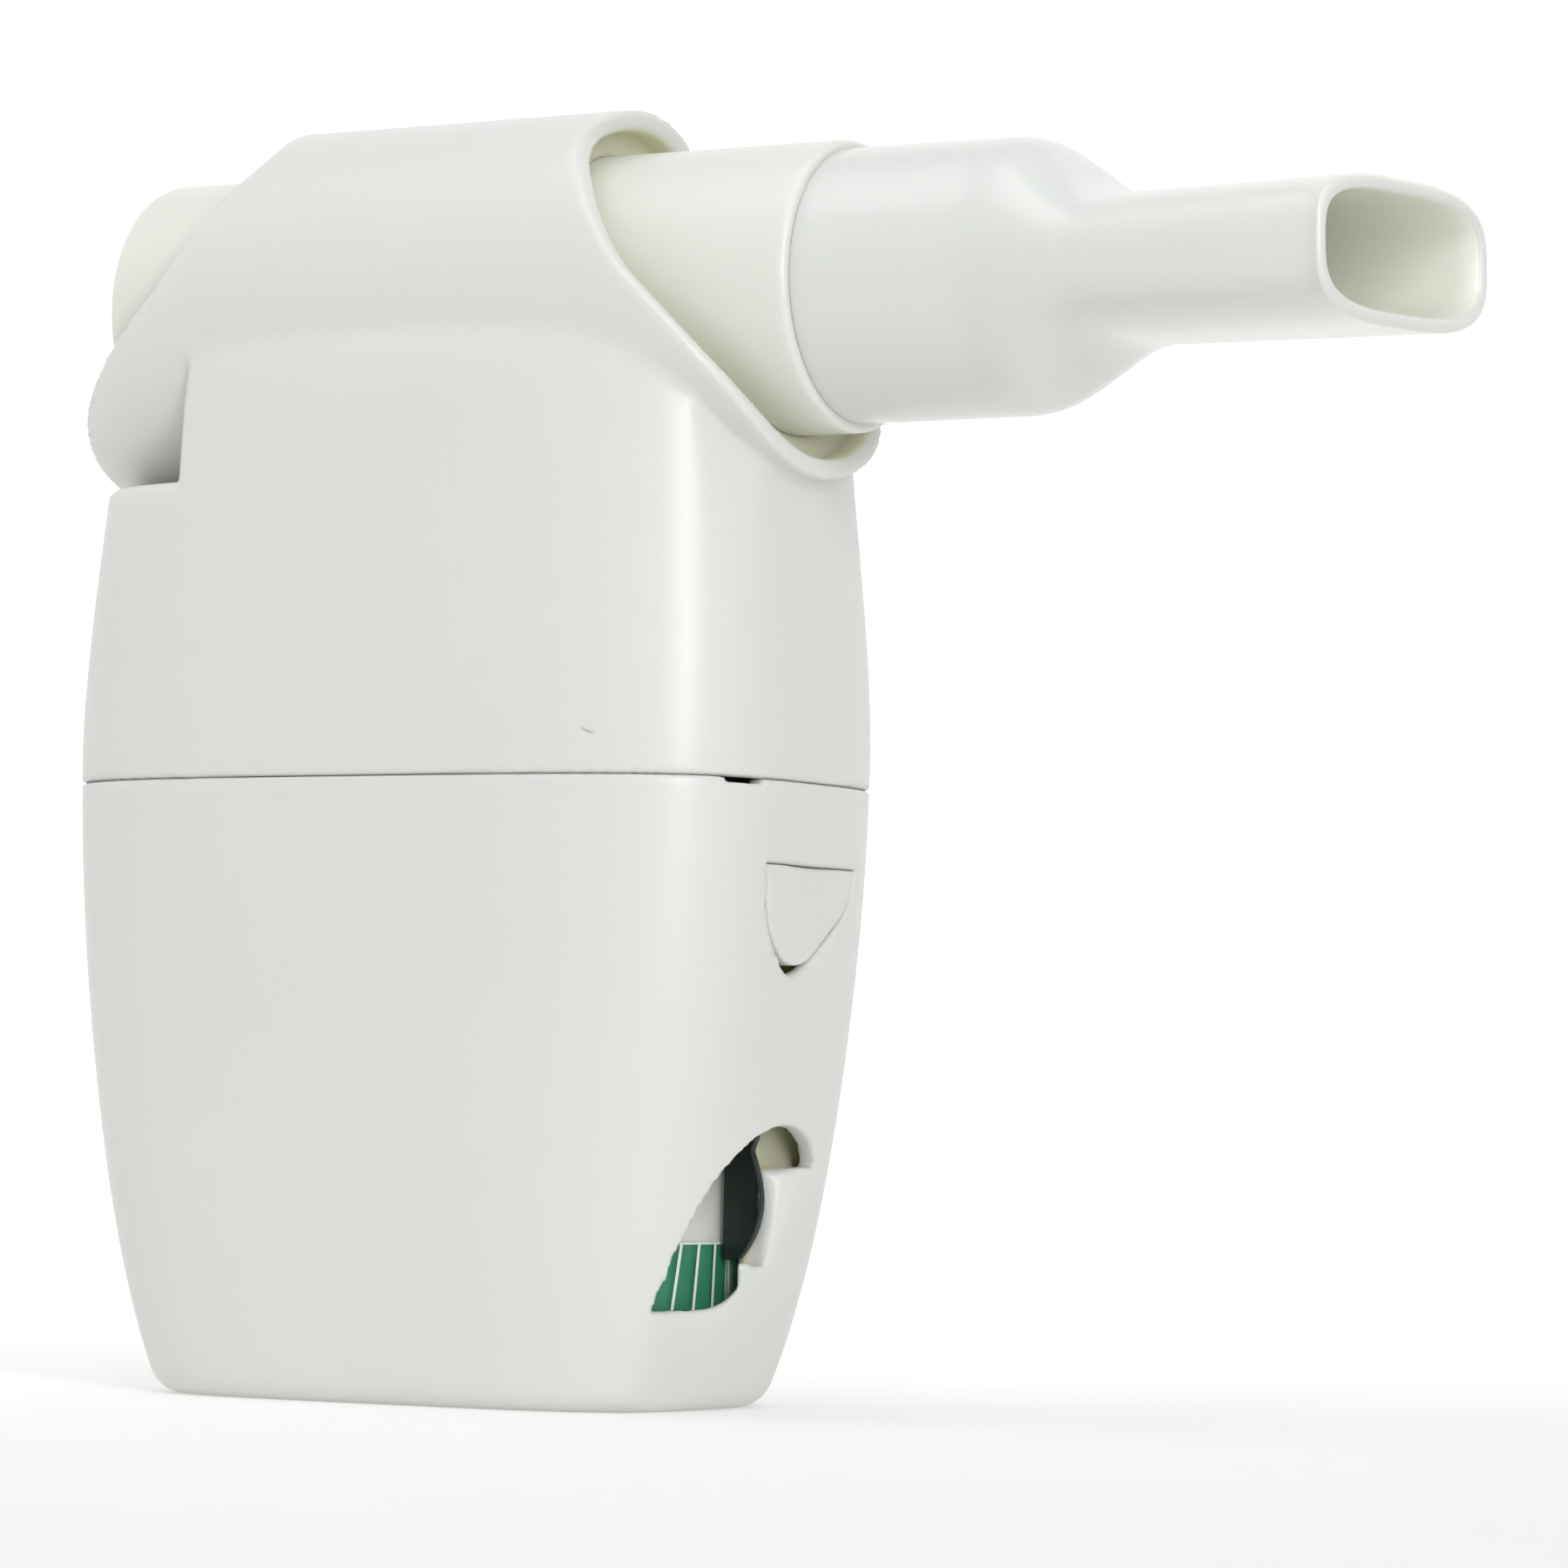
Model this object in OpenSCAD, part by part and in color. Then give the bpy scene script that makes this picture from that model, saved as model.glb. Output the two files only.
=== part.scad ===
// Oscillating positive expiratory pressure device, in millimetres.
// X points to the mouthpiece, minus Y is the front face, Z is up. The base stands at z = 0.

/* [Body] */
// Width of the two casings at the seam
body_w = 72.3; // [71:0.1:73]
// Depth of the two casings at the seam
body_d = 40.4; // [40:0.1:42]
// How square the plan of the body is; 2 is an ellipse
corner_power = 3.7; // [3.6:0.1:4.5]
// Height of the seam between the two casings
seam_z = 55.2; // [55:0.1:55.4]
// Wall of both casings
wall = 1.8; // [1.7:0.05:1.9]
// Floor of the lower casing
floor_t = 2; // [1.8:0.1:2.2]
// Softened edge on each side of the seam
seam_edge = 0.3; // [0.2:0.05:0.4]
// Height at which the left shoulder ends under the cowl
shoulder_z = 82.2; // [82.1:0.1:82.6]
// Distance of the front panel's left edge from the middle
panel_edge = 21.1; // [20:0.1:22]

/* [Cowl and duct] */
// Height of the horizontal tube's axis
tube_z = 98.9; // [98.8:0.1:99.2]
// Outer radius of the cowl
cowl_r = 16.9; // [16.6:0.1:17]
// Wall of the cowl
cowl_wall = 1.9; // [1.8:0.1:2]
// Reach of the cowl's lower lip from the middle
cowl_reach = 36.2; // [35.5:0.1:37]
// Outer radius of the air duct
duct_r = 12.9; // [12.8:0.1:13]
// Right end of the duct, where the mouthpiece seats
neck_end = 39.5; // [39:0.5:40]
// Left end of the duct, at the rear port
port_end = 32.5; // [32:0.5:33]
// Radius of the rear port's bore, a 22 mm breathing connector
port_r = 11; // [10.9:0.05:11.1]
// Free depth of the rear port's bore
port_depth = 12; // [11:0.5:12.5]
// Radius of the duct's inner way
duct_bore_r = 9.9; // [9.7:0.1:10]

/* [Mouthpiece] */
// Radius of the spigot at its thick end, a 22 mm cone of 1 in 40
spigot_r = 11.1; // [11:0.05:11.2]
// Length of the spigot
spigot_l = 18; // [17:0.5:19]
// Radius of the mouthpiece's collar
collar_r = 12.1; // [12:0.1:12.3]
// Where the collar ends and the shoulder begins
collar_end = 56; // [55:0.5:57]
// Where the mouthpiece ends
mouth_end = 92.4; // [90:0.2:96]
// Width of the oval end
mouth_w = 33.2; // [31:0.2:34]
// Height of the oval end
mouth_h = 12.6; // [12:0.1:14]
// Turn of the mouthpiece in the neck
mouth_turn = 3; // [0:1:6]
// Wall of the mouthpiece
mouth_wall = 1.3; // [1.2:0.05:1.5]

/* [Chambers] */
// Space between the ends of the chambers and the casings, in which the latch legs bend
end_space = 7.2; // [6.8:0.1:8]
// Space between the chambers' front and the casings
side_space = 2.9; // [2.6:0.1:3.4]
// Wall of the chambers
chamber_wall = 1.5; // [1.4:0.1:1.6]
// Underside of the lower chamber
chamber_z = 29.6; // [29.5:0.1:29.7]
// Thickness of the plate between the chambers
plate_t = 2; // [1.9:0.1:2.1]
// Top of the upper chamber
chamber_top = 78.4; // [78.3:0.1:78.5]
// Thickness of the rubber seal under the duct
seal_t = 1.2; // [1.1:0.1:1.3]

/* [Oscillator] */
// Radius of the steel shaft
shaft_r = 1.5; // [1.4:0.05:1.6]
// Running clearance of the shaft in its bushes
run_fit = 0.04; // [0.03:0.01:0.06]
// Turn of the butterfly from its closed place when at rest
butterfly_turn = 25; // [22:1:28]
// Thickness of the butterfly and the vane
blade_t = 1.2; // [1.1:0.1:1.3]
// Half width of the butterfly's window
window_half = 6; // [5.8:0.1:6.2]
// Length of the vane
vane_l = 10.8; // [10:0.2:11]

/* [Resistance lever] */
// Widest part of the window, from the front end of the arch to the slot for the lever's arm
window_w = 17.1; // [16.5:0.1:17.5]
// Top of the window's arch
window_top = 25; // [24.8:0.1:25.2]
// Thickness of the lever's fin
fin_t = 1.8; // [1.6:0.1:2]
// How far the fin's edge lies under the casing's side
fin_sink = 0.9; // [0.7:0.1:1.2]
// Radius of the lower chamber's boss, on which the lever turns
boss_r = 7; // [6.8:0.1:7.2]
// Length of the fin, from the scale drum to its edge
fin_l = 4.5; // [4.2:0.1:4.8]
// Thickness of the scale's label
label_t = 0.25; // [0.2:0.05:0.25]

/* [Latches] */
// Width of the round-ended latch button
button_w = 16.2; // [15.5:0.1:16.5]
// Height of the latch button's flat top edge
button_top = 47.9; // [47.5:0.1:48]
// Height of the latch button
button_h = 9; // [8.8:0.1:9.2]
// Gap around the latch button
button_gap = 0.35; // [0.3:0.05:0.45]
// Thickness of the latch legs
leg_t = 1.4; // [1.3:0.1:1.5]

/* [Hidden] */
$fn = 64;
sides = 60;
mouth_sides = 48;
eps = 0.01;
tiny = 0.05;
gap = 0.3;
half_body_w = body_w / 2;
half_body_d = body_d / 2;
chamber_l = half_body_w - wall - end_space;
chamber_r = half_body_d - wall - side_space;
fin_reach = half_body_w * 0.907 - fin_sink;
drum_r = fin_reach - fin_l - label_t - gap;

// Half width and half depth of the body, as shares, over the height share of each casing
lower_w_shares = [[0, 0.735], [0.011, 0.755], [0.036, 0.772], [0.072, 0.79], [0.127, 0.822], [0.18, 0.846],
    [0.254, 0.871], [0.326, 0.895], [0.435, 0.922], [0.543, 0.947], [0.652, 0.967], [0.761, 0.982],
    [0.87, 0.992], [1, 1]];
lower_d_shares = [[0, 0.785], [0.011, 0.803], [0.036, 0.82], [0.072, 0.836], [0.127, 0.862], [0.18, 0.88],
    [0.254, 0.9], [0.326, 0.918], [0.435, 0.94], [0.543, 0.96], [0.652, 0.975], [0.761, 0.987],
    [0.87, 0.995], [1, 1]];
upper_w_shares = [[0, 1], [0.156, 1], [0.247, 0.995], [0.339, 0.987], [0.43, 0.979], [0.522, 0.968],
    [0.6, 0.957], [0.71, 0.947], [0.8, 0.941], [0.93, 0.932]];
upper_d_shares = [[0, 1], [0.092, 0.997], [0.253, 0.978], [0.369, 0.96], [0.475, 0.94], [0.6, 0.918],
    [0.71, 0.9], [0.783, 0.887], [0.84, 0.868], [0.885, 0.842], [0.93, 0.795]];
lower_ring_shares = [0, 0.011, 0.036, 0.072, 0.127, 0.18, 0.254, 0.326, 0.435, 0.543, 0.652, 0.761, 0.87];
lower_inner_shares = [0.127, 0.18, 0.254, 0.326, 0.435, 0.543, 0.652, 0.761, 0.87];
upper_ring_shares = [0.092, 0.156, 0.253, 0.339, 0.43, 0.522, 0.6, 0.71, 0.783, 0.84, 0.885, 0.93];
upper_inner_shares = [0.092, 0.253, 0.339, 0.43, 0.522, 0.6, 0.71, 0.783, 0.84, 0.876];
upper_h = tube_z - seam_z;

function half_w(z) = half_body_w * (z <= seam_z ? lookup(z / seam_z, lower_w_shares)
    : lookup((z - seam_z) / upper_h, upper_w_shares));
function half_d(z) = half_body_d * (z <= seam_z ? lookup(z / seam_z, lower_d_shares)
    : lookup((z - seam_z) / upper_h, upper_d_shares));
function bent(v, power) = sign(v) * pow(abs(v), 2 / power);
function plan_ring(z, w, d) = [for (i = [0 : sides - 1])
    [w * bent(cos(360 * i / sides), corner_power), d * bent(sin(360 * i / sides), corner_power), z]];
function body_ring(z, inset) = plan_ring(z, half_w(z) - inset, half_d(z) - inset);
function level_ring(z, at, inset) = plan_ring(z, half_w(at) - inset, half_d(at) - inset);

// A closed solid through rings of points that all run the same way round
module loft(rings) {
    n = len(rings[0]);
    last = len(rings) - 1;
    points = concat([for (r = rings) for (p = r) p],
        [(rings[0][0] + rings[0][n / 2]) / 2, (rings[last][0] + rings[last][n / 2]) / 2]);
    start = (last + 1) * n;
    ends = concat([for (i = [0 : n - 1]) [start, i, (i + 1) % n]],
        [for (i = [0 : n - 1]) [start + 1, last * n + (i + 1) % n, last * n + i]]);
    lows = [for (k = [0 : last - 1]) for (i = [0 : n - 1]) [k * n + i, (k + 1) * n + i, k * n + (i + 1) % n]];
    highs = [for (k = [0 : last - 1]) for (i = [0 : n - 1])
        [(k + 1) * n + i, (k + 1) * n + (i + 1) % n, k * n + (i + 1) % n]];
    polyhedron(points = points, faces = concat(ends, lows, highs), convexity = 6);
}

// Latch window and button
leg_x = half_body_w - wall - leg_t - 0.7;
pivot_z = seam_z + 3.5;
pivot_r = 1.2;
pivot_x = leg_x + pivot_r / 2;
leg_w = 10;
leg_low = button_top - button_h + 1.2;
lug_t = 1.8;
lug_w = 2 * (leg_w / 2 + 0.3 + lug_t);

module button_plan(grow) {
    r = button_w / 2;
    intersection() {
        translate([-r - grow, button_top - button_h - 2 * grow])
            square([2 * (r + grow), button_h + 3 * grow]);
        translate([0, button_top - button_h + r])
            circle(r = r + grow);
    }
    translate([-r - grow, button_top - button_h + r - eps])
        square([2 * (r + grow), button_h - r + grow + eps]);
}

module across_x(x0, length) {
    translate([x0, 0, 0])
        rotate([90, 0, 90])
            linear_extrude(height = length)
                children();
}

// The lower casing's window for the lever, as shares of its width across and of its top's height
window_shares = [[-0.737, 0.36], [-0.71, 0.504], [-0.684, 0.604], [-0.632, 0.712], [-0.579, 0.772],
    [-0.503, 0.84], [-0.415, 0.9], [-0.327, 0.944], [-0.181, 0.98], [-0.023, 1], [0.111, 0.976], [0.193, 0.928],
    [0.263, 0.86], [0.07, 0.86], [0.07, 0.58], [0.012, 0.52], [0.012, 0.476], [-0.07, 0.44], [-0.175, 0.408],
    [-0.31, 0.384], [-0.497, 0.362]];
lip_edge = 0.07 * window_w;
slot_z = 0.86 * window_top;
ledge_z = 0.352 * window_top;

module lever_window() {
    points = [for (p = window_shares) [p[0] * window_w, p[1] * window_top]];
    across_x(drum_r + label_t + gap, half_body_w / 2)
        polygon(points);
}

// The casing turns inwards beside the lever: this cuts the slope down to that lip
module lip_slope() {
    low = [[-lip_edge, 0], [half_body_w / 2, 0], [half_body_w / 2, -lip_edge], [-lip_edge, -lip_edge]];
    high = [[0, 0], [0.09 * half_body_w, 0.19 * window_w], [half_body_w / 2, 0.19 * window_w],
        [half_body_w / 2, -lip_edge], [0, -lip_edge]];
    translate([fin_reach - fin_l / 3, lip_edge, 0])
        hull() {
            translate([0, 0, window_top / 2])
                linear_extrude(height = tiny)
                    polygon(low);
            translate([0, 0, slot_z])
                linear_extrude(height = tiny)
                    polygon(high);
        }
}

module sector(r, z0, z1, turn0, turn1) {
    far = 1.5 * r;
    translate([0, 0, z0])
        intersection() {
            cylinder(r = r, h = z1 - z0);
            linear_extrude(height = z1 - z0)
                polygon([[0, 0], [far * cos(turn0), far * sin(turn0)],
                    [far * cos((turn0 + turn1) / 2), far * sin((turn0 + turn1) / 2)],
                    [far * cos(turn1), far * sin(turn1)]]);
        }
}

rib_t = 1.6;
rib_x = 6;
rib_drop = 6;
scoop_r = 42;
scoop_turn = 12.5;
scoop_lean = 17;
scoop_share = 0.782;
slot_w = 3.6;
slot_h = 0.45;
slot_x = 0.93 * half_body_w;
slot_y = 0.42 * half_body_d;

module lower_cavity() {
    difference() {
        loft(concat([level_ring(floor_t, floor_t, wall)],
            [for (s = lower_inner_shares) body_ring(s * seam_z, wall)],
            [level_ring(seam_z + 1, seam_z, wall)]));
        difference() {
            sector(half_body_w, floor_t / 2, ledge_z, -36, 14);
            cylinder(r = drum_r + label_t + gap, h = ledge_z + 1);
        }
        translate([fin_reach - fin_l / 2, lip_edge, floor_t / 2])
            cube([half_body_w / 3, window_w * 0.28, slot_z - floor_t / 2]);
    }
}

module lower_casing() {
    color("#e6e8e4")
        difference() {
            union() {
                difference() {
                    loft(concat([for (s = lower_ring_shares) body_ring(s * seam_z, 0)],
                        [level_ring(seam_z - seam_edge, seam_z, 0), level_ring(seam_z, seam_z, seam_edge)]));
                    lower_cavity();
                }
                for (side = [-1, 1])
                    for (x = [-rib_x, rib_x])
                        translate([x - rib_t / 2, side > 0 ? chamber_r : -half_d(chamber_z) + wall / 2, chamber_z])
                            cube([rib_t, half_d(chamber_z) - wall / 2 - chamber_r, seam_z - rib_drop - chamber_z]);
            }
            for (side = [0, 180])
                rotate([0, 0, side])
                    across_x(half_body_w * 0.8, half_body_w / 2)
                        button_plan(button_gap);
            lever_window();
            lip_slope();
            rotate([0, 0, -scoop_turn])
                translate([half_body_w * scoop_share + scoop_r, 0, 0])
                    rotate([0, scoop_lean, 0])
                        translate([0, 0, -window_top])
                            cylinder(r = scoop_r, h = 1.36 * window_top);
            translate([slot_x, -slot_y - slot_w, seam_z - slot_h])
                cube([half_body_w / 5, slot_w, slot_h + 1]);
        }
}

lip_h = 3;
lip_t = 1.2;
lip_gap = 0.35;
clip_t = 1.6;
spout_x = -0.35 * chamber_l;
spout_l = 14;
spout_w = 16;
flange_edge = 3;
flange_t = 1.5;
flange_z = chamber_top + seal_t;
cowl_cut_shares = [[0.5, 1.1], [0.484, 0.95], [0.468, 0.82], [0.49, 0.69], [0.545, 0.51], [0.602, 0.31],
    [0.682, 0.065], [0.787, -0.17], [0.878, -0.385], [0.945, -0.57], [0.982, -0.72], [1, -0.86], [1, -1.15]];

module cowl_cut() {
    far = 2 * cowl_reach;
    points = concat([for (p = cowl_cut_shares) [p[0] * cowl_reach, tube_z + p[1] * cowl_r]],
        [[far, tube_z - 1.15 * cowl_r], [far, tube_z + 1.1 * cowl_r]]);
    rotate([90, 0, 0])
        translate([0, 0, -2 * cowl_r])
            linear_extrude(height = 4 * cowl_r)
                polygon(points);
}

module upper_cavity() {
    difference() {
        loft(concat([level_ring(seam_z - 1, seam_z, wall)],
            [for (s = upper_inner_shares) body_ring(seam_z + s * upper_h, wall)]));
        translate([-body_w, -body_d, shoulder_z - wall])
            cube([body_w - panel_edge + wall, 2 * body_d, upper_h]);
    }
}

module lip(z0, z1, out) {
    difference() {
        loft([level_ring(z0, seam_z, wall - out), level_ring(z1, seam_z, wall - out)]);
        loft([level_ring(z0 - 1, seam_z, wall + lip_gap + lip_t), level_ring(z1 + 1, seam_z, wall + lip_gap + lip_t)]);
    }
}

module upper_casing() {
    color("#e6e8e4")
        difference() {
            union() {
                difference() {
                    union() {
                        difference() {
                            loft(concat([level_ring(seam_z, seam_z, seam_edge),
                                level_ring(seam_z + seam_edge, seam_z, 0)],
                                [for (s = upper_ring_shares) body_ring(seam_z + s * upper_h, 0)]));
                            translate([-body_w, -body_d, shoulder_z])
                                cube([body_w - panel_edge, 2 * body_d, upper_h]);
                        }
                        translate([-cowl_reach - 1, 0, tube_z])
                            rotate([0, 90, 0])
                                cylinder(r = cowl_r, h = 2 * cowl_reach + 2);
                    }
                    upper_cavity();
                    translate([-cowl_reach - 2, 0, tube_z])
                        rotate([0, 90, 0])
                            cylinder(r = cowl_r - cowl_wall, h = 2 * cowl_reach + 4);
                    cowl_cut();
                    mirror([1, 0, 0])
                        cowl_cut();
                }
                lip(seam_z - lip_h, seam_z, -lip_gap);
                lip(seam_z, seam_z + 2.5, 0.4);
                for (side = [-1, 1]) {
                    for (x = [spout_x - 4, spout_x + 4])
                        translate([x - clip_t / 2, side > 0 ? spout_w / 2 + 1.5 : -half_d(flange_z) + wall / 2,
                            chamber_top + 0.2])
                            cube([clip_t, half_d(flange_z) - wall / 2 - spout_w / 2 - 1.5, flange_t + seal_t + 1.2]);
                    for (y = [-1, 1])
                        translate([side * (pivot_x + half_body_w - wall / 2) / 2 - (half_body_w - wall / 2 - pivot_x) / 2
                            - side * 0.8 - 0.8, y * (leg_w / 2 + 0.3 + lug_t / 2) - lug_t / 2, pivot_z - 2.2])
                            cube([half_body_w - wall / 2 - pivot_x + 1.6, lug_t, 4.4]);
                }
            }
            translate([spout_x - spout_l / 2 - flange_edge, -spout_w / 2 - flange_edge, flange_z])
                cube([spout_l + 2 * flange_edge, spout_w + 2 * flange_edge, flange_t]);
            for (side = [-1, 1])
                translate([side * (half_body_w - wall - 2.2) - 1.7, -lug_w / 2 - 0.4, seam_z - lip_h - 1])
                    cube([3.4, lug_w + 0.8, lip_h + 1 + 1.2]);
            for (side = [-1, 1])
                translate([side * (half_body_w - wall - 2.2) - 1.7, -leg_w / 2 - 0.3, seam_z - lip_h - 1])
                    cube([3.4, leg_w + 0.6, lip_h + 1 + 2.8]);
            for (side = [-1, 1])
                translate([side * pivot_x, lug_w / 2 + 0.5, pivot_z])
                    rotate([90, 0, 0])
                        cylinder(r = pivot_r + run_fit, h = lug_w + 1);
        }
}

module latch() {
    difference() {
        union() {
            intersection() {
                across_x(leg_x + leg_t / 2, half_body_w / 2)
                    button_plan(0);
                loft([for (s = [0.43, 0.59, 0.75, 0.9, 1]) body_ring(s * seam_z, tiny)]);
            }
            translate([leg_x, -leg_w / 2, leg_low])
                cube([leg_t, leg_w, pivot_z - leg_low]);
            translate([pivot_x, lug_w / 2 - 0.2, pivot_z])
                rotate([90, 0, 0])
                    cylinder(r = pivot_r, h = lug_w - 0.4);
        }
        translate([leg_x - 1, -button_w, pivot_z + pivot_r - 0.2])
            cube([leg_t + 2, 2 * button_w, 1]);
    }
}

module latch_right() {
    color("#dfe1dd")
        latch();
}

module latch_left() {
    color("#dfe1dd")
        rotate([0, 0, 180])
            latch();
}

seat_t = 2;
groove_depth = 0.3;
seat_x = -port_end + port_depth;
step_x = seat_x + seat_t;
socket_r = spigot_r + tiny;
tip_r = spigot_r - spigot_l / 80;

module air_duct() {
    color("#dcdcd2")
        difference() {
            union() {
                translate([-port_end, 0, tube_z])
                    rotate([0, 90, 0])
                        cylinder(r = duct_r, h = port_end + neck_end);
                translate([spout_x - spout_l / 2, -spout_w / 2, flange_z])
                    cube([spout_l, spout_w, tube_z - flange_z]);
                translate([spout_x - spout_l / 2 - flange_edge, -spout_w / 2 - flange_edge, flange_z])
                    cube([spout_l + 2 * flange_edge, spout_w + 2 * flange_edge, flange_t]);
            }
            translate([-port_end - 1, 0, tube_z])
                rotate([0, 90, 0])
                    cylinder(r = port_r, h = port_depth + 1);
            translate([seat_x, 0, tube_z])
                rotate([0, 90, 0])
                    cylinder(r = port_r + groove_depth, h = seat_t);
            translate([step_x - eps, 0, tube_z])
                rotate([0, 90, 0])
                    cylinder(r = duct_bore_r, h = neck_end - spigot_l - 2 - step_x);
            translate([neck_end - spigot_l - 2.5, 0, tube_z])
                rotate([0, 90, 0])
                    cylinder(r = tip_r - mouth_wall, h = 1);
            translate([neck_end - spigot_l - 2, 0, tube_z])
                rotate([0, 90, 0])
                    cylinder(r1 = socket_r - (spigot_l + 2) / 80, r2 = socket_r, h = spigot_l + 2);
            translate([neck_end - 1, 0, tube_z])
                rotate([0, 90, 0])
                    cylinder(r1 = socket_r - 1 / 80, r2 = socket_r + 1 / 80, h = 2);
            translate([spout_x - spout_l / 2 + 1.4, -spout_w / 2 + 1.4, flange_z - 1])
                cube([spout_l - 2.8, spout_w - 2.8, tube_z - flange_z + 1]);
        }
}

// Mouthpiece sections: place along the shoulder and blade, half height, half width, squareness
mouth_l = mouth_end - collar_end;
shoulder_drop = collar_r - mouth_h / 2;
shoulder_shares = [[0.03, 0.012, 2], [0.07, 0.07, 2.05], [0.11, 0.2, 2.15], [0.15, 0.4, 2.3], [0.19, 0.62, 2.4],
    [0.23, 0.81, 2.5], [0.28, 0.95, 2.6], [0.34, 1, 2.7], [0.65, 1, 3], [1, 1, 3.3]];
mouth_rows = concat([[-0.015, collar_r - tiny, collar_r - tiny, 2]],
    [for (p = shoulder_shares) [p[0], collar_r - tiny - p[1] * (shoulder_drop - tiny),
        collar_r - tiny + p[0] * (mouth_w / 2 - collar_r + tiny), p[2]]]);

function mouth_ring(row, x, inset) = [for (i = [0 : mouth_sides - 1])
    [x, (row[2] - inset) * bent(cos(360 * i / mouth_sides), row[3]),
        (row[1] - inset) * bent(sin(360 * i / mouth_sides), row[3])]];

module mouthpiece() {
    color("#e9eae6")
        difference() {
            union() {
                translate([neck_end - spigot_l, 0, tube_z])
                    rotate([0, 90, 0])
                        cylinder(r1 = tip_r, r2 = spigot_r, h = spigot_l);
                translate([neck_end, 0, tube_z])
                    rotate([0, 90, 0])
                        cylinder(r = collar_r, h = collar_end - neck_end);
                translate([0, 0, tube_z])
                    rotate([mouth_turn, 0, 0])
                        loft([for (row = mouth_rows) mouth_ring(row, collar_end + row[0] * mouth_l, 0)]);
            }
            translate([neck_end - spigot_l - 1, 0, tube_z])
                rotate([0, 90, 0])
                    cylinder(r = tip_r - mouth_wall, h = spigot_l + 2);
            translate([neck_end + 1 - eps, 0, tube_z])
                rotate([0, 90, 0])
                    cylinder(r1 = tip_r - mouth_wall, r2 = collar_r - mouth_wall, h = 4);
            translate([neck_end + 5 - 2 * eps, 0, tube_z])
                rotate([0, 90, 0])
                    cylinder(r = collar_r - mouth_wall, h = collar_end - neck_end - 5 + 3 * eps);
            translate([0, 0, tube_z])
                rotate([mouth_turn, 0, 0])
                    loft(concat([for (row = mouth_rows) mouth_ring(row, collar_end + row[0] * mouth_l, mouth_wall)],
                        [mouth_ring(mouth_rows[len(mouth_rows) - 1], mouth_end + 1, mouth_wall)]));
        }
}

// One-way valve in the rear port: a spoked seat and a hinged rubber flap
flap_t = 0.8;
flap_r = 9;
bead_r = 0.7;
bead_z = tube_z + 8.1;
bead_x = step_x + bead_r + 0.15;
clip_w = 1.5;
clip_y = 3.4;

module valve_seat() {
    color("#d9dad4")
        difference() {
            union() {
                translate([seat_x, 0, tube_z])
                    rotate([0, 90, 0])
                        difference() {
                            cylinder(r = port_r + groove_depth - 0.02, h = seat_t);
                            translate([0, 0, -1])
                                cylinder(r = flap_r - 1.4, h = seat_t + 2);
                        }
                for (turn = [0, 60, 120])
                    translate([seat_x + seat_t / 2, 0, tube_z])
                        rotate([turn, 0, 0])
                            cube([seat_t, 1.4, 2 * flap_r], center = true);
                translate([seat_x, 0, tube_z])
                    rotate([0, 90, 0])
                        cylinder(r = 2, h = seat_t);
                for (side = [-1, 1])
                    translate([step_x - eps, side * clip_y - clip_w / 2, bead_z - 1.3])
                        cube([bead_x - step_x + bead_r + 0.5, clip_w, 2.3]);
            }
            translate([bead_x, clip_y + clip_w, bead_z])
                rotate([90, 0, 0])
                    cylinder(r = bead_r + run_fit, h = 2 * (clip_y + clip_w));
        }
}

module valve_flap() {
    color("#d8dcd6")
        union() {
            difference() {
                translate([step_x + tiny, 0, tube_z])
                    rotate([0, 90, 0])
                        cylinder(r = flap_r, h = flap_t);
                translate([step_x - 1, -flap_r, bead_z - 1.6])
                    cube([3, 2 * flap_r, flap_r]);
            }
            translate([step_x + 0.15, -clip_y + clip_w / 2 + 0.2, bead_z - 2])
                cube([flap_t - 0.1, 2 * (clip_y - clip_w / 2 - 0.2), 2]);
            translate([bead_x, clip_y + clip_w / 2 - 0.1, bead_z])
                rotate([90, 0, 0])
                    cylinder(r = bead_r, h = 2 * clip_y + clip_w - 0.2);
        }
}

// Chambers, with round ends
module oblong(l, r, h) {
    for (side = [-1, 1])
        translate([side * (l - r), 0, 0])
            cylinder(r = r, h = h);
    translate([r - l, -r, 0])
        cube([2 * (l - r), 2 * r, h]);
}

plate_z = seam_z - plate_t;
bush_r = 3;
bush_h = 3;
hub_z = window_top - 0.2;
boss_low = hub_z - 2.5;
clip_groove_r = boss_r - 0.9;
clip_z = boss_low + 0.8;
clip_h = 0.8;
hub_h = 3;
bypass_r = 2;
bypass_at = boss_r + 4;
pocket_z = chamber_z + chamber_wall - bush_h;

module chamber_lower() {
    color("#cfd6d2")
        difference() {
            union() {
                translate([0, 0, chamber_z])
                    oblong(chamber_l, chamber_r, plate_z - chamber_z);
                translate([0, 0, boss_low])
                    cylinder(r = boss_r, h = chamber_z - boss_low + eps);
            }
            translate([0, 0, chamber_z + chamber_wall])
                oblong(chamber_l - chamber_wall, chamber_r - chamber_wall, plate_z - chamber_z);
            translate([0, 0, pocket_z])
                cylinder(r = bush_r, h = bush_h + 1);
            translate([0, 0, clip_z])
                difference() {
                    cylinder(r = boss_r + 1, h = clip_h);
                    translate([0, 0, -1])
                        cylinder(r = clip_groove_r, h = clip_h + 2);
                }
            rotate([0, 0, bypass_turn])
                translate([bypass_at, 0, chamber_z - 1])
                    cylinder(r = bypass_r, h = chamber_wall + 2);
            translate([-chamber_l - 1, -window_half, chamber_z + 6])
                cube([chamber_wall + 3, 2 * window_half, plate_z - chamber_z - 10]);
        }
}

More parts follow.
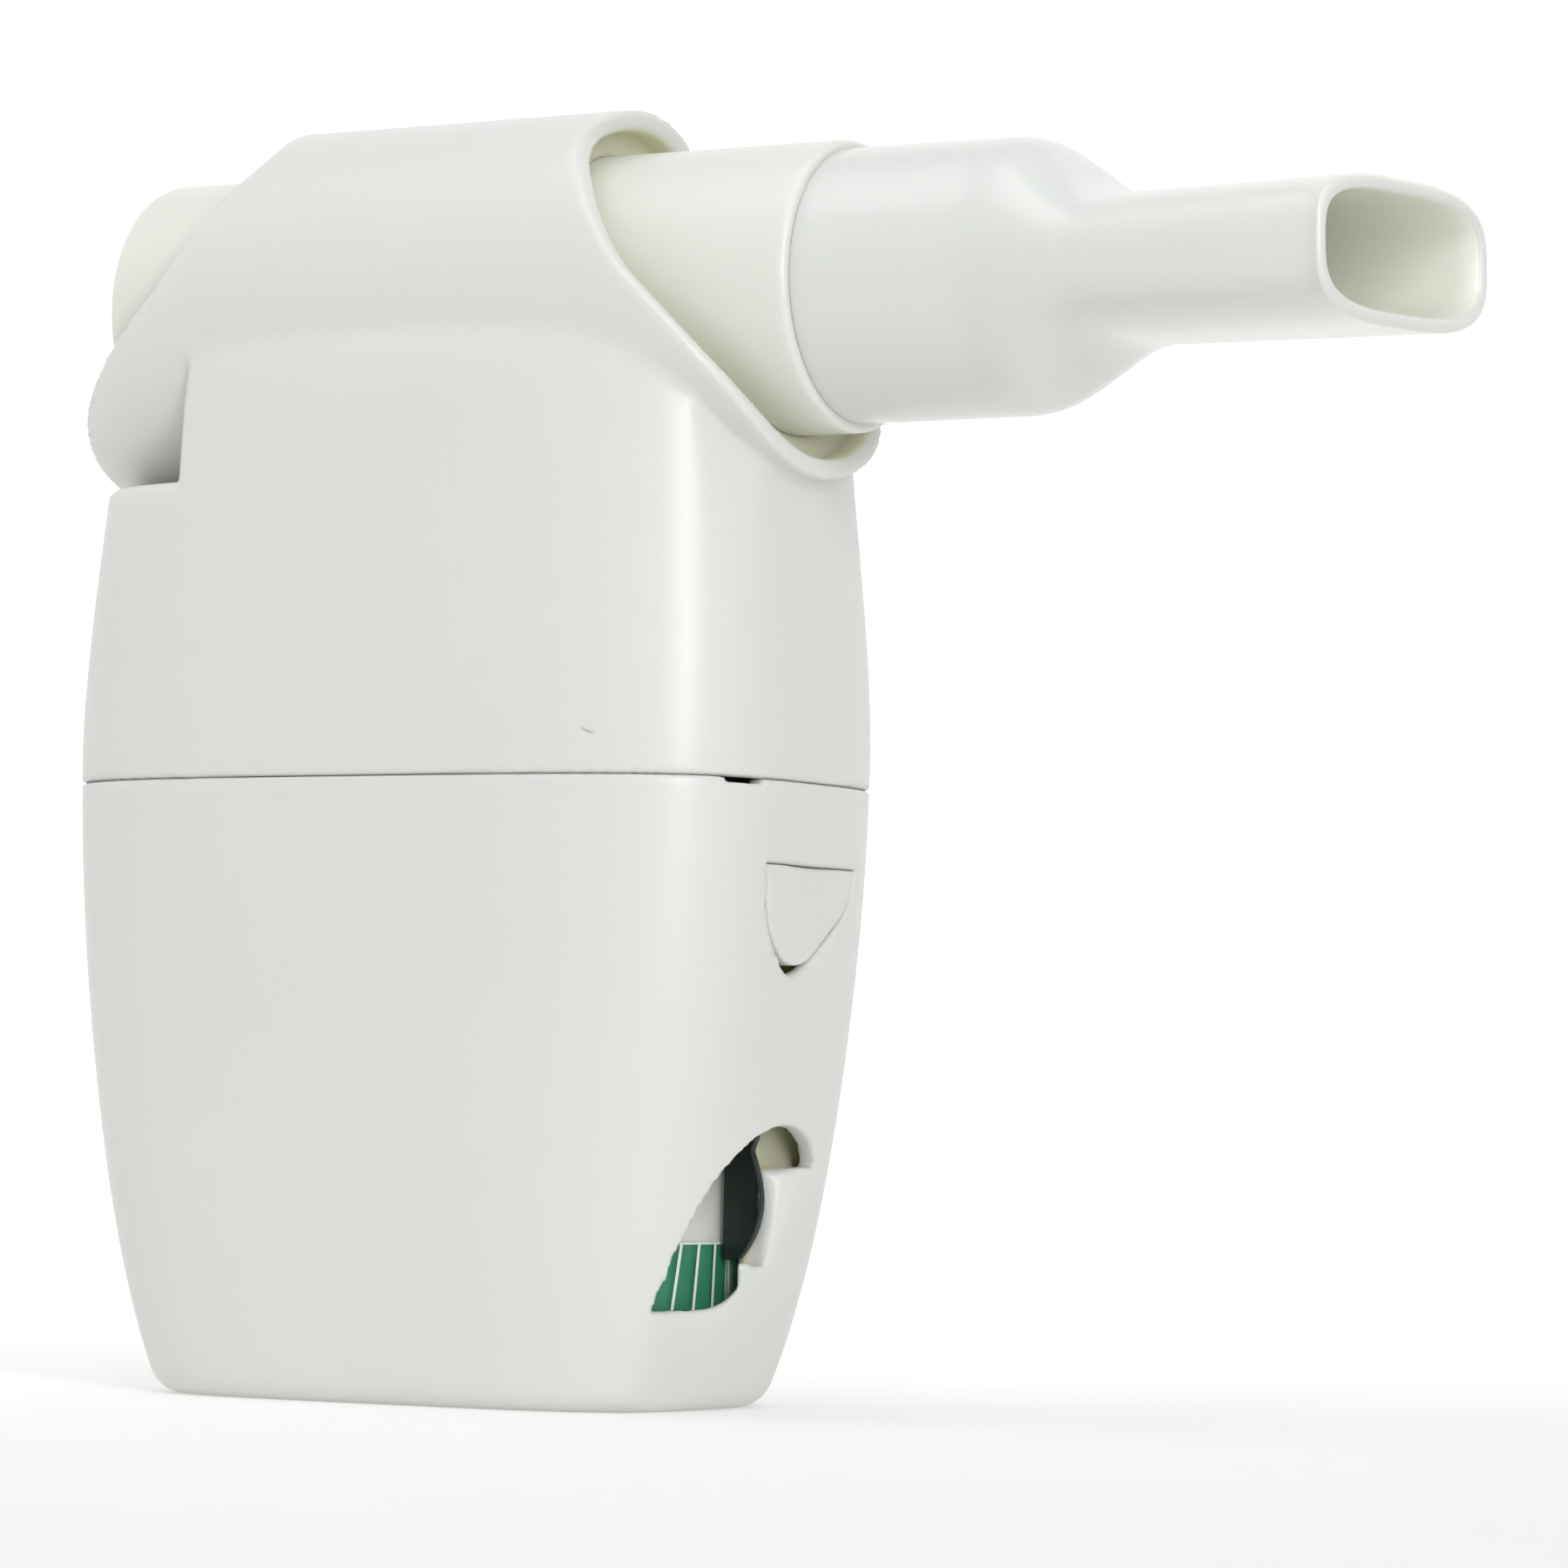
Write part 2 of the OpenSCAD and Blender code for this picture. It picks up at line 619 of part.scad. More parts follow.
nozzle_x = 0.45 * chamber_l;
nozzle_l = 11;
nozzle_w = 9;
nozzle_edge = 2;
nozzle_drop = 3.8;
nozzle_t = 0.8;
rubber_t = 1;

module nozzle_plate() {
    color("#c9cfcb")
        difference() {
            translate([0, 0, plate_z])
                oblong(chamber_l, chamber_r, plate_t);
            translate([0, 0, plate_z - 1])
                cylinder(r = shaft_r + gap, h = plate_t + 2);
            translate([nozzle_x - nozzle_l / 2, -nozzle_w / 2, plate_z - 1])
                cube([nozzle_l, nozzle_w, plate_t + 2]);
        }
}

module nozzle() {
    l = nozzle_l - 0.2;
    w = nozzle_w - 0.2;
    low = plate_z - nozzle_drop;
    color("#b9c7bf")
        difference() {
            union() {
                translate([nozzle_x - nozzle_l / 2 - nozzle_edge, -nozzle_w / 2 - nozzle_edge, seam_z])
                    cube([nozzle_l + 2 * nozzle_edge, nozzle_w + 2 * nozzle_edge, rubber_t]);
                across_x(nozzle_x - l / 2, l)
                    polygon([[-w / 2, seam_z + eps], [-w / 2, plate_z], [-1.3, low], [1.3, low],
                        [w / 2, plate_z], [w / 2, seam_z + eps]]);
            }
            across_x(nozzle_x - l / 2 + nozzle_t, l - 2 * nozzle_t)
                polygon([[-w / 2 + nozzle_t, seam_z + 2], [-w / 2 + nozzle_t, plate_z], [-0.35, low + 1],
                    [-0.35, low - 1], [0.35, low - 1], [0.35, low + 1], [w / 2 - nozzle_t, plate_z],
                    [w / 2 - nozzle_t, seam_z + 2]]);
        }
}

clamp_h = 1.2;

module nozzle_clamp() {
    color("#c3cac6")
        difference() {
            translate([nozzle_x - nozzle_l / 2 - nozzle_edge - 0.4, -nozzle_w / 2 - nozzle_edge - 0.4,
                seam_z + rubber_t])
                cube([nozzle_l + 2 * nozzle_edge + 0.8, nozzle_w + 2 * nozzle_edge + 0.8, clamp_h]);
            translate([nozzle_x - nozzle_l / 2 + nozzle_t, -nozzle_w / 2 + nozzle_t, seam_z])
                cube([nozzle_l - 2 * nozzle_t, nozzle_w - 2 * nozzle_t, clamp_h + 2]);
        }
}

post_r = 3.2;
window_low = seam_z + 3;
window_up = chamber_top - 6;
bush_z = chamber_top - bush_h;

module chamber_upper() {
    roof = chamber_top - chamber_wall;
    color("#cfd6d2")
        difference() {
            union() {
                difference() {
                    translate([0, 0, seam_z])
                        oblong(chamber_l, chamber_r, chamber_top - seam_z);
                    translate([0, 0, seam_z - 1])
                        oblong(chamber_l - chamber_wall, chamber_r - chamber_wall, roof - seam_z + 1);
                }
                difference() {
                    union() {
                        translate([-0.8, -chamber_r + chamber_wall / 2, seam_z])
                            cube([1.6, 2 * chamber_r - chamber_wall, roof - seam_z + eps]);
                        translate([0, 0, seam_z])
                            cylinder(r = post_r, h = window_low - seam_z);
                        translate([0, 0, window_up])
                            cylinder(r = post_r + 1, h = chamber_top - window_up);
                    }
                    translate([-1.6, -window_half, window_low])
                        cube([3.2, 2 * window_half, window_up - window_low]);
                }
            }
            translate([0, 0, seam_z - 1])
                cylinder(r = shaft_r + gap, h = chamber_top - seam_z);
            translate([0, 0, bush_z])
                cylinder(r = bush_r, h = bush_h + 1);
            translate([spout_x - spout_l / 2 + 1.4, -spout_w / 2 + 1.4, roof - 1])
                cube([spout_l - 2.8, spout_w - 2.8, 4]);
        }
}

module duct_seal() {
    color("#a9b5ae")
        difference() {
            translate([spout_x - spout_l / 2 - 1, -spout_w / 2 - 1, chamber_top])
                cube([spout_l + 2, spout_w + 2, seal_t]);
            translate([spout_x - spout_l / 2 + 1.4, -spout_w / 2 + 1.4, chamber_top - 1])
                cube([spout_l - 2.8, spout_w - 2.8, seal_t + 2]);
        }
}

module bush(z0) {
    translate([0, 0, z0])
        difference() {
            cylinder(r = bush_r, h = bush_h);
            translate([0, 0, -1])
                cylinder(r = shaft_r + run_fit, h = bush_h + 2);
        }
}

module bush_lower() {
    color("#b08d57")
        bush(pocket_z);
}

module bush_upper() {
    color("#b08d57")
        bush(bush_z);
}

module shaft() {
    color("#aeb4b8")
        translate([0, 0, pocket_z])
            cylinder(r = shaft_r, h = chamber_top - 0.4 - pocket_z);
}

hub_wall = 1.3;

module blade(z0, z1, x0, x1) {
    difference() {
        union() {
            translate([x0, -blade_t / 2, z0])
                cube([x1 - x0, blade_t, z1 - z0]);
            translate([0, 0, z0])
                cylinder(r = shaft_r + hub_wall, h = z1 - z0);
        }
        translate([0, 0, z0 - 1])
            cylinder(r = shaft_r, h = z1 - z0 + 2);
    }
}

module restrictor() {
    color("#7f8f8a")
        rotate([0, 0, 90 - butterfly_turn])
            blade(window_low + gap, window_up - gap, -window_half + 0.4, window_half - 0.4);
}

vane_top = plate_z - nozzle_drop - 0.6;

module vane() {
    color("#7f8f8a")
        blade(chamber_z + chamber_wall + 1.5, vane_top, 0, vane_l);
}

arm_w = 6;
shutter_edge = 2.6;
bypass_turn = 140;
fin_low_z = 0.52 * window_top;
fin_shares = [[0, 0.5], [0, 0.03], [0.2, 0], [0.52, 0.015], [0.75, 0.12], [0.93, 0.25], [1, 0.4], [0.92, 0.56],
    [0.8, 0.68], [0.6, 0.8], [0.36, 0.87], [0.36, 1], [-0.5, 1], [-0.5, 0.86], [0, 0.8]];
fin_root = fin_reach - fin_l;

module resistance_lever() {
    fin_h = hub_z + hub_h - fin_low_z;
    points = [for (p = fin_shares) [fin_root + p[0] * fin_l, fin_low_z + p[1] * fin_h]];
    color("#20262a")
        difference() {
            union() {
                translate([0, 0, hub_z])
                    cylinder(r = boss_r + shutter_edge, h = hub_h);
                translate([0, 0, hub_z + hub_h - eps])
                    cylinder(r = bypass_at + shutter_edge, h = chamber_z - gap - hub_z - hub_h + eps);
                translate([0, -arm_w / 2, hub_z + run_fit])
                    cube([fin_root + 0.3 * fin_l, arm_w, hub_h - run_fit]);
                rotate([90, 0, 0])
                    translate([0, 0, -fin_t / 2])
                        linear_extrude(height = fin_t)
                            polygon(points);
            }
            translate([0, 0, hub_z - 1])
                cylinder(r = boss_r + run_fit, h = chamber_z - hub_z + 2);
            rotate([0, 0, bypass_turn])
                translate([bypass_at, 0, hub_z])
                    cylinder(r = bypass_r, h = chamber_z - hub_z);
        }
}

module lever_clip() {
    color("#9aa0a4")
        translate([0, 0, clip_z])
            difference() {
                cylinder(r = boss_r + 1.5, h = clip_h);
                translate([0, 0, -1])
                    cylinder(r = clip_groove_r, h = clip_h + 2);
                translate([-2 * boss_r, -3, -1])
                    cube([2 * boss_r, 6, clip_h + 2]);
            }
}

drum_low = ledge_z - 1.4;
drum_top = hub_z - 1;
drum_t = 1.5;
drum_turns = [-26, 17];
web_t = 1.4;
web_turns = [-23, -5, 13];
web_h = 10;
web_rise = 0.5;
foot_share = 0.62;
label_h = 14.8 / 25 * window_top - drum_low;

module cradle() {
    foot_r = foot_share * half_body_d;
    color("#e2e4e0")
        union() {
            translate([0, 0, floor_t])
                cylinder(r = foot_r, h = drum_t);
            translate([0, 0, floor_t])
                cylinder(r = boss_r - drum_t, h = boss_low - floor_t);
            for (turn = web_turns)
                rotate([0, 0, turn])
                    translate([0, -web_t / 2, drum_low + web_rise])
                        cube([drum_r - drum_t / 2, web_t, web_h]);
            for (turn = [60, 180, 300])
                rotate([0, 0, turn])
                    translate([0, -web_t / 2, floor_t])
                        cube([foot_r - web_t, web_t, web_h]);
            difference() {
                sector(drum_r, drum_low, drum_top, drum_turns[0], drum_turns[1]);
                translate([0, 0, drum_low - 1])
                    cylinder(r = drum_r - drum_t, h = drum_top);
            }
        }
}

module scale_label() {
    color("#2f8069")
        difference() {
            sector(drum_r + label_t, drum_low, drum_low + label_h, drum_turns[0] + 1, drum_turns[1] - 1);
            translate([0, 0, drum_low - 1])
                cylinder(r = drum_r, h = label_h + 2);
        }
}

lower_casing();
upper_casing();
latch_right();
latch_left();
air_duct();
mouthpiece();
valve_seat();
valve_flap();
chamber_lower();
chamber_upper();
nozzle_plate();
nozzle();
nozzle_clamp();
duct_seal();
bush_lower();
bush_upper();
shaft();
restrictor();
vane();
resistance_lever();
lever_clip();
cradle();
scale_label();
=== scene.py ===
import math
import bpy
import numpy as np
import openvdb
from mathutils import Matrix, Vector


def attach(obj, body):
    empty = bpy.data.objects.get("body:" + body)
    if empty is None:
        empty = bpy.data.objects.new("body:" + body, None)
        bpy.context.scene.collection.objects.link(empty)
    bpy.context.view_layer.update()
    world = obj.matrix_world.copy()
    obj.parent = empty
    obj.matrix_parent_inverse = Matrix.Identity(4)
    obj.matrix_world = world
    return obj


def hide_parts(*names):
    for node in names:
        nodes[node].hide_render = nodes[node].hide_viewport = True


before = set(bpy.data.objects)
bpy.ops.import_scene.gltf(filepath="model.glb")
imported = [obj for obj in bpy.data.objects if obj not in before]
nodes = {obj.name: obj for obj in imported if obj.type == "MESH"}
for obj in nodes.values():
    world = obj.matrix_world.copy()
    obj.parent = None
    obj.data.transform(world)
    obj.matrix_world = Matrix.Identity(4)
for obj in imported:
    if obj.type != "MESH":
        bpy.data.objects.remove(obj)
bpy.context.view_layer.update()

# Camera
# The tripod stands low, in front of the device and to its right, with a long lens. Its place, turn and focal
# length are those at which the device's measured edges fall on the photograph's.
MM = 0.001
camera_place = Vector((314.86, -476.87, 25.32)) * MM
camera_yaw, camera_pitch, camera_roll = (math.radians(a) for a in (30.597, 3.087, 1.091))
focal_px = 7238.3
photo_px = 1800
sensor_w = 36

forward = Vector((-math.sin(camera_yaw) * math.cos(camera_pitch),
                  math.cos(camera_yaw) * math.cos(camera_pitch), math.sin(camera_pitch)))
level_right = forward.cross(Vector((0, 0, 1))).normalized()
level_up = level_right.cross(forward)
right = math.cos(camera_roll) * level_right + math.sin(camera_roll) * level_up
up = -math.sin(camera_roll) * level_right + math.cos(camera_roll) * level_up
camera_data = bpy.data.cameras.new("camera")
camera_data.sensor_width = sensor_w
camera_data.lens = sensor_w * focal_px / photo_px
camera_data.clip_start = 0.01
camera = bpy.data.objects.new("camera", camera_data)
camera.matrix_world = Matrix.Translation(camera_place) @ Matrix((right, up, -forward)).transposed().to_4x4()
bpy.context.scene.collection.objects.link(camera)
bpy.context.scene.camera = camera

# Floor and backdrop
# A round photographic cove of translucent white board: the floor runs up into a wall all round, so that
# there is no horizon behind the device from any side. It is lit from behind, more strongly at the back.
cove_floor_r, cove_bend_r, cove_h = 1.5, 0.9, 2.4
cove_steps, cove_sides = 16, 96
cove_white, cove_cloud = "#cbcbc9", "#c9c9c7"
cove_glow, glow_range, glow_loss_right = (0.02, 0.66), (-0.75, 0.7), 0.6
cove_back = Vector((-0.51, 0.86, 0.0))
cove_right = Vector((0.86, 0.51, 0.0))


def to_linear(hex_colour):
    """An sRGB hex colour as the linear colour that a shader takes."""
    parts = [int(hex_colour[i:i + 2], 16) / 255 for i in (1, 3, 5)]
    return [p / 12.92 if p <= 0.04045 else ((p + 0.055) / 1.055) ** 2.4 for p in parts] + [1]


# A mix node's two colour inputs and its colour output, by number, since their names serve other kinds as well
mix_a, mix_b, mix_result = 6, 7, 2


def add_node(tree, kind, settings=None, inputs=None):
    """A node with its settings and its inputs; an input takes a value, or the output that it is linked to."""
    made = tree.nodes.new(kind)
    for key, value in (settings or {}).items():
        setattr(made, key, value)
    for key, value in (inputs or {}).items():
        if isinstance(value, bpy.types.NodeSocket):
            tree.links.new(value, made.inputs[key])
        else:
            made.inputs[key].default_value = value
    return made


def new_material(name, **inputs):
    """A material with a Principled shader; returns the material, its node tree and the shader."""
    made = bpy.data.materials.new(name)
    made.use_nodes = True
    shader = made.node_tree.nodes["Principled BSDF"]
    for key, value in inputs.items():
        shader.inputs[key.replace("_", " ")].default_value = value
    return made, made.node_tree, shader


def link_object(name, mesh):
    """An object at the origin that shows this mesh."""
    made = bpy.data.objects.new(name, mesh)
    bpy.context.scene.collection.objects.link(made)
    return made


cove_profile = [(0.0, 0.0), (cove_floor_r * 0.5, 0.0), (cove_floor_r, 0.0)]
for i in range(1, cove_steps + 1):
    a = math.pi / 2 * i / cove_steps
    cove_profile.append((cove_floor_r + cove_bend_r * math.sin(a), cove_bend_r * (1 - math.cos(a))))
cove_profile.append((cove_floor_r + cove_bend_r, cove_h))
cove_turns = [2 * math.pi * k / cove_sides for k in range(cove_sides)]
cove_points = [(0, 0, 0)]
cove_points += [(r * math.cos(a), r * math.sin(a), z) for r, z in cove_profile[1:] for a in cove_turns]
cove_faces = [(0, 1 + k, 1 + (k + 1) % cove_sides) for k in range(cove_sides)]
for row in range(len(cove_profile) - 2):
    a = 1 + row * cove_sides
    cove_faces += [(a + k, a + cove_sides + k, a + cove_sides + (k + 1) % cove_sides,
                    a + (k + 1) % cove_sides) for k in range(cove_sides)]
cove_mesh = bpy.data.meshes.new("cove")
cove_mesh.from_pydata(cove_points, [], cove_faces)
cove_mesh.shade_smooth()
cove = link_object("cove", cove_mesh)
cove_board, tree, shader = new_material("acrylic_board_matt_backlit", Roughness=0.9,
                                        Emission_Color=to_linear("#ffffff"))
place = add_node(tree, "ShaderNodeTexCoord").outputs["Object"]
board_grain = add_node(tree, "ShaderNodeTexNoise", inputs={"Scale": 40.0, "Detail": 2.0, "Vector": place})
board_tone = add_node(tree, "ShaderNodeMix", {"data_type": "RGBA"},
                      {"Factor": board_grain.outputs["Fac"], mix_a: to_linear(cove_white),
                       mix_b: to_linear(cove_cloud)})
tree.links.new(board_tone.outputs[mix_result], shader.inputs["Base Color"])
towards_back = add_node(tree, "ShaderNodeVectorMath", {"operation": "DOT_PRODUCT"},
                        {0: place, 1: cove_back})
towards_right = add_node(tree, "ShaderNodeVectorMath", {"operation": "DOT_PRODUCT"},
                         {0: place, 1: cove_right})
only_right = add_node(tree, "ShaderNodeMath", {"operation": "MAXIMUM"},
                      {0: towards_right.outputs["Value"], 1: 0.0})
less_right = add_node(tree, "ShaderNodeMath", {"operation": "MULTIPLY_ADD"},
                      {0: only_right.outputs["Value"], 1: -glow_loss_right, 2: towards_back.outputs["Value"]})
glow = add_node(tree, "ShaderNodeMapRange", {"interpolation_type": "SMOOTHSTEP"},
                {"From Min": glow_range[0], "From Max": glow_range[1], "To Min": cove_glow[0],
                 "To Max": cove_glow[1], "Value": less_right.outputs["Value"]})
tree.links.new(glow.outputs["Result"], shader.inputs["Emission Strength"])
cove_mesh.materials.append(cove_board)

# Studio light
# Softboxes: a broad one overhead, a tall one beyond the device's front right corner, a weak one on the left,
# and two small panes in front of the mouthpiece's shoulder and above it.
bpy.context.scene.view_settings.view_transform = "Standard"
world = bpy.data.worlds.new("studio")
world.use_nodes = True
world.node_tree.nodes["Background"].inputs["Color"].default_value = to_linear("#ffffff")
world.node_tree.nodes["Background"].inputs["Strength"].default_value = 0.62
bpy.context.scene.world = world


def softbox(name, place, aim, size, power, colour="#ffffff"):
    """A rectangular soft light at place, in metres, that faces aim."""
    data = bpy.data.lights.new(name, "AREA")
    data.shape = "RECTANGLE"
    data.size, data.size_y = size
    data.energy = power
    data.color = to_linear(colour)[:3]
    made = bpy.data.objects.new(name, data)
    made.location = place
    made.rotation_euler = (Vector(aim) - Vector(place)).to_track_quat("-Z", "Y").to_euler()
    bpy.context.scene.collection.objects.link(made)


softbox("softbox_top", (-0.05, -0.25, 0.95), (0, 0, 0.06), (0.9, 0.7), 2.3)
softbox("softbox_corner", (0.66, -0.60, 0.36), (0, 0, 0.05), (0.16, 0.6), 4.2)
softbox("softbox_left", (-0.8, -0.7, 0.35), (0, 0, 0.06), (0.5, 0.8), 0.2, "#f4f7ff")
for pane, shift in (("left", -0.035), ("right", 0.035)):
    softbox("softbox_pane_" + pane, (0.30 + shift, -0.55, 0.62), (0.06, 0, 0.1), (0.045, 0.11), 0.12)

# Lower casing
# The deep lower shell of the body, which carries the chambers and the lever. It is injection-moulded
# in white ABS, with softly rounded edges, and takes the lip of the upper casing at the seam.
body_half_w, body_half_d = 36.15, 20.2
corner_power = 3.7
seam_z = 55.2
wall, floor_t, floor_fillet = 1.8, 2.0, 1.5
foot_edge = 2.4
seam_edge = 0.35
lower_w_shares = [(0, 0.752), (0.036, 0.772), (0.072, 0.79), (0.127, 0.822), (0.18, 0.846), (0.254, 0.871),
                  (0.326, 0.895), (0.435, 0.922), (0.543, 0.947), (0.652, 0.967), (0.761, 0.982),
                  (0.87, 0.992), (1, 1)]
lower_d_shares = [(0, 0.801), (0.036, 0.82), (0.072, 0.836), (0.127, 0.862), (0.18, 0.88), (0.254, 0.9),
                  (0.326, 0.918), (0.435, 0.94), (0.543, 0.96), (0.652, 0.975), (0.761, 0.987),
                  (0.87, 0.995), (1, 1)]
shell_step = 0.42


def eased(t, table, degree=5):
    """One smooth polynomial through a table of (place, value) shares."""
    at, value = np.array(table, float).T
    return np.polyval(np.polyfit(at, value, degree), t)


def lattice(low, high, step):
    """The three axes of a grid of points, shaped to combine by broadcasting."""
    x, y, z = (np.arange(a, b + step, step, dtype=np.float32) for a, b in zip(low, high))
    return x[:, None, None], y[None, :, None], z[None, None, :]


def keep_both(a, b, soft=0.01):
    """The overlap of two shapes given as distances; their edge is rounded over about soft millimetres."""
    h = np.clip(0.5 + 0.5 * (a - b) / soft, 0, 1)
    return b + (a - b) * h + soft * h * (1 - h)


def join(a, b, soft=0.01):
    """Two shapes made one, with a fillet of about soft millimetres between them."""
    return -keep_both(-a, -b, soft)


def cut(a, b, soft=0.01):
    """Shape a without shape b."""
    return keep_both(a, -b, soft)


def block(x, y, z, low, high):
    """Distance to a box between two corners."""
    return np.maximum(np.maximum(np.maximum(low[0] - x, x - high[0]), np.maximum(low[1] - y, y - high[1])),
                      np.maximum(low[2] - z, z - high[2]))


def plan_distance(x, y, half_w, half_d, power=corner_power):
    """Distance to a squared-off oval of these half sizes, near its edge."""
    a, b = (np.abs(x) / half_w) ** power, (np.abs(y) / half_d) ** power
    r = np.maximum((a + b) ** (1 / power), 0.3)
    slope = np.sqrt((a / np.maximum(np.abs(x), 0.2)) ** 2 + (b / np.maximum(np.abs(y), 0.2)) ** 2)
    return (r - 1) / np.maximum(slope * r ** (1 - power), 0.012)


def curve_through(points, count):
    """Points on a smooth curve through the given ones, evenly spread between each pair."""
    p = np.array(points, float)
    length = np.concatenate([[0], np.cumsum(np.hypot(*np.diff(p, axis=0).T))])
    slope = np.gradient(p, length, axis=0)
    t = np.linspace(0, length[-1], count)
    i = np.clip(np.searchsorted(length, t, side="right") - 1, 0, len(p) - 2)
    h = (length[i + 1] - length[i])[:, None]
    s = (t - length[i])[:, None] / h
    return ((2 * s ** 3 - 3 * s ** 2 + 1) * p[i] + (s ** 3 - 2 * s ** 2 + s) * h * slope[i]
            + (3 * s ** 2 - 2 * s ** 3) * p[i + 1] + (s ** 3 - s ** 2) * h * slope[i + 1]).tolist()


def outline_distance(points, u, v):
    """Distance to a closed outline in a plane, negative inside it."""
    nearest, inside = None, False
    for (u0, v0), (u1, v1) in zip(points, points[1:] + points[:1]):
        du, dv = u1 - u0, v1 - v0
        t = np.clip(((u - u0) * du + (v - v0) * dv) / (du * du + dv * dv + 1e-9), 0, 1)
        d = (u - u0 - t * du) ** 2 + (v - v0 - t * dv) ** 2
        nearest = d if nearest is None else np.minimum(nearest, d)
        if v0 != v1:
            inside = inside ^ (((v0 <= v) != (v1 <= v)) & (u < u0 + (v - v0) / dv * du))
    return np.where(inside, -1, 1) * np.sqrt(nearest)


def probe(field, at):
    """Values of a grid between its points."""
    at = np.clip(at, 0, np.array(field.shape) - 1.001)
    i = at.astype(int)
    f = at - i
    total = 0
    for corner in np.ndindex(2, 2, 2):
        share = np.prod(np.where(corner, f, 1 - f), axis=1)
        total = total + share * field[tuple((i + corner).T)]
    return total


def skin(name, field, low, step, finishes, adapt=0.004, inner=None):
    """The surface of a shape given as distances on a grid, in millimetres. Its shading normals come from the
    same distances. Faces on the hollow named inner take the second finish."""
    grid = openvdb.FloatGrid(background=3.0)
    grid.copyFromArray(np.clip(field / step, -3, 3).astype(np.float32))
    points, triangles, quads = grid.convertToPolygons(isovalue=0.0, adaptivity=adapt)
    points = np.array(points, float)
    faces = [np.array(f, int) for f in (quads, triangles) if len(f)]
    normals = np.stack([probe(field, points + e) - probe(field, points - e) for e in np.eye(3) * 0.6], 1)
    a, b, c = (points[faces[0][:, k]] for k in range(3))
    if (np.cross(b - a, c - a) * normals[faces[0][:, 1]]).sum() < 0:
        faces = [f[:, ::-1] for f in faces]
    mesh = bpy.data.meshes.new(name)
    shown = [f for part in faces for f in part.tolist()]
    mesh.from_pydata(((points * step + np.array(low)) * MM).tolist(), [], shown)
    mesh.shade_smooth()
    lengths = np.maximum(np.linalg.norm(normals, axis=1), 1e-9)
    mesh.normals_split_custom_set_from_vertices(normals / lengths[:, None])
    for finish in finishes:
        mesh.materials.append(finish)
    if inner is not None:
        centres = np.concatenate([points[f].mean(axis=1) for f in faces])
        mesh.polygons.foreach_set("material_index", (probe(inner, centres) < 0.25).astype(np.int32))
    return link_object(name, mesh)


def moulded(name, tone, shade, roughness, grain_mm=0.35, grain_depth=0.012, subsurface=0.35):
    """Injection-moulded plastic: an even colour with faint flow clouds, and the mould's fine satin grain."""
    made, tree, shader = new_material(name, Roughness=roughness, IOR=1.54, Subsurface_Weight=subsurface,
                                      Subsurface_Scale=0.0025, Subsurface_Radius=(1.0, 0.97, 0.8))
    cloud_mm = 18
    place = add_node(tree, "ShaderNodeTexCoord").outputs["Object"]
    clouds = add_node(tree, "ShaderNodeTexNoise",
                      inputs={"Scale": 1 / (cloud_mm * MM), "Detail": 2.0, "Vector": place})
    colour = add_node(tree, "ShaderNodeMix", {"data_type": "RGBA"},
                      {"Factor": clouds.outputs["Fac"], mix_a: to_linear(tone), mix_b: to_linear(shade)})
    tree.links.new(colour.outputs[mix_result], shader.inputs["Base Color"])
    grain = add_node(tree, "ShaderNodeTexNoise",
                     inputs={"Scale": 1 / (grain_mm * MM), "Detail": 3.0, "Vector": place}).outputs["Fac"]
    relief = add_node(tree, "ShaderNodeBump",
                      inputs={"Strength": 0.25, "Distance": grain_depth * MM, "Height": grain})
    tree.links.new(relief.outputs["Normal"], shader.inputs["Normal"])
    sheen = add_node(tree, "ShaderNodeMapRange",
                     inputs={"To Min": roughness - 0.03, "To Max": roughness + 0.03, "Value": grain})
    tree.links.new(sheen.outputs["Result"], shader.inputs["Roughness"])
    return made


# Fine satin ABS: near white, with a soft broad sheen. Its grain of 0.35 mm is drawn coarser than the real
# one, to show.
casing_white = moulded("abs_white_satin_moulded", "#d9dbd8", "#d6d8d5", 0.36)
# The insides of the casings take a warmer copy of the same white: a painted tint for the light
# that has bounced off the plastic many times in the unlit hollows.
casing_inside_painted_bounce = moulded("abs_white_inside_painted_bounce_light", "#e0e0c8", "#dadac0", 0.5)

low, high = (-38.0, -22.2, -1.7), (38.0, 22.2, 57.0)
x, y, z = lattice(low, high, shell_step)
height = np.clip(z / seam_z, 0, 1)
half_w = body_half_w * eased(height, lower_w_shares)
half_d = body_half_d * eased(height, lower_d_shares)
lower_outer = keep_both(plan_distance(x, y, half_w, half_d), -z, foot_edge)
lower_outer = keep_both(lower_outer, z - seam_z, seam_edge)
cavity = keep_both(plan_distance(x, y, half_w - wall, half_d - wall), floor_t - z, floor_fillet)

# The lever's window, on the right side alone: an arch, a slot above the lip for the lever's arm, and a ledge
# below the scale
drum_face_r = 27.39
lip_edge, lip_top, lip_low, ledge_z = 1.2, 21.5, 13.2, 8.8
arch = [(-12.0, 8.9), (-11.85, 10.1), (-11.5, 11.9), (-11.15, 14.3), (-10.9, 15.2), (-10.5, 16.9),
        (-9.8, 18.7), (-9.1, 20.0), (-8.1, 21.2), (-6.9, 22.3), (-4.6, 23.8), (-1.9, 24.8), (-0.4, 25.1),
        (2.3, 25.0), (4.9, 24.0), (6.3, 22.9), (7.2, 21.5)]
lip_side = [(lip_edge, lip_top), (lip_edge, lip_low)]
ledge_side = [(-2.3, 12.9), (-2.1, 12.0), (-2.5, 11.3), (-3.7, 10.6), (-5.1, 9.9), (-7.2, 9.3), (-10.0, 8.95)]
window_outline = curve_through(arch, 60) + lip_side + curve_through(ledge_side, 24)
ledge_turn = (math.radians(-36), math.radians(14))
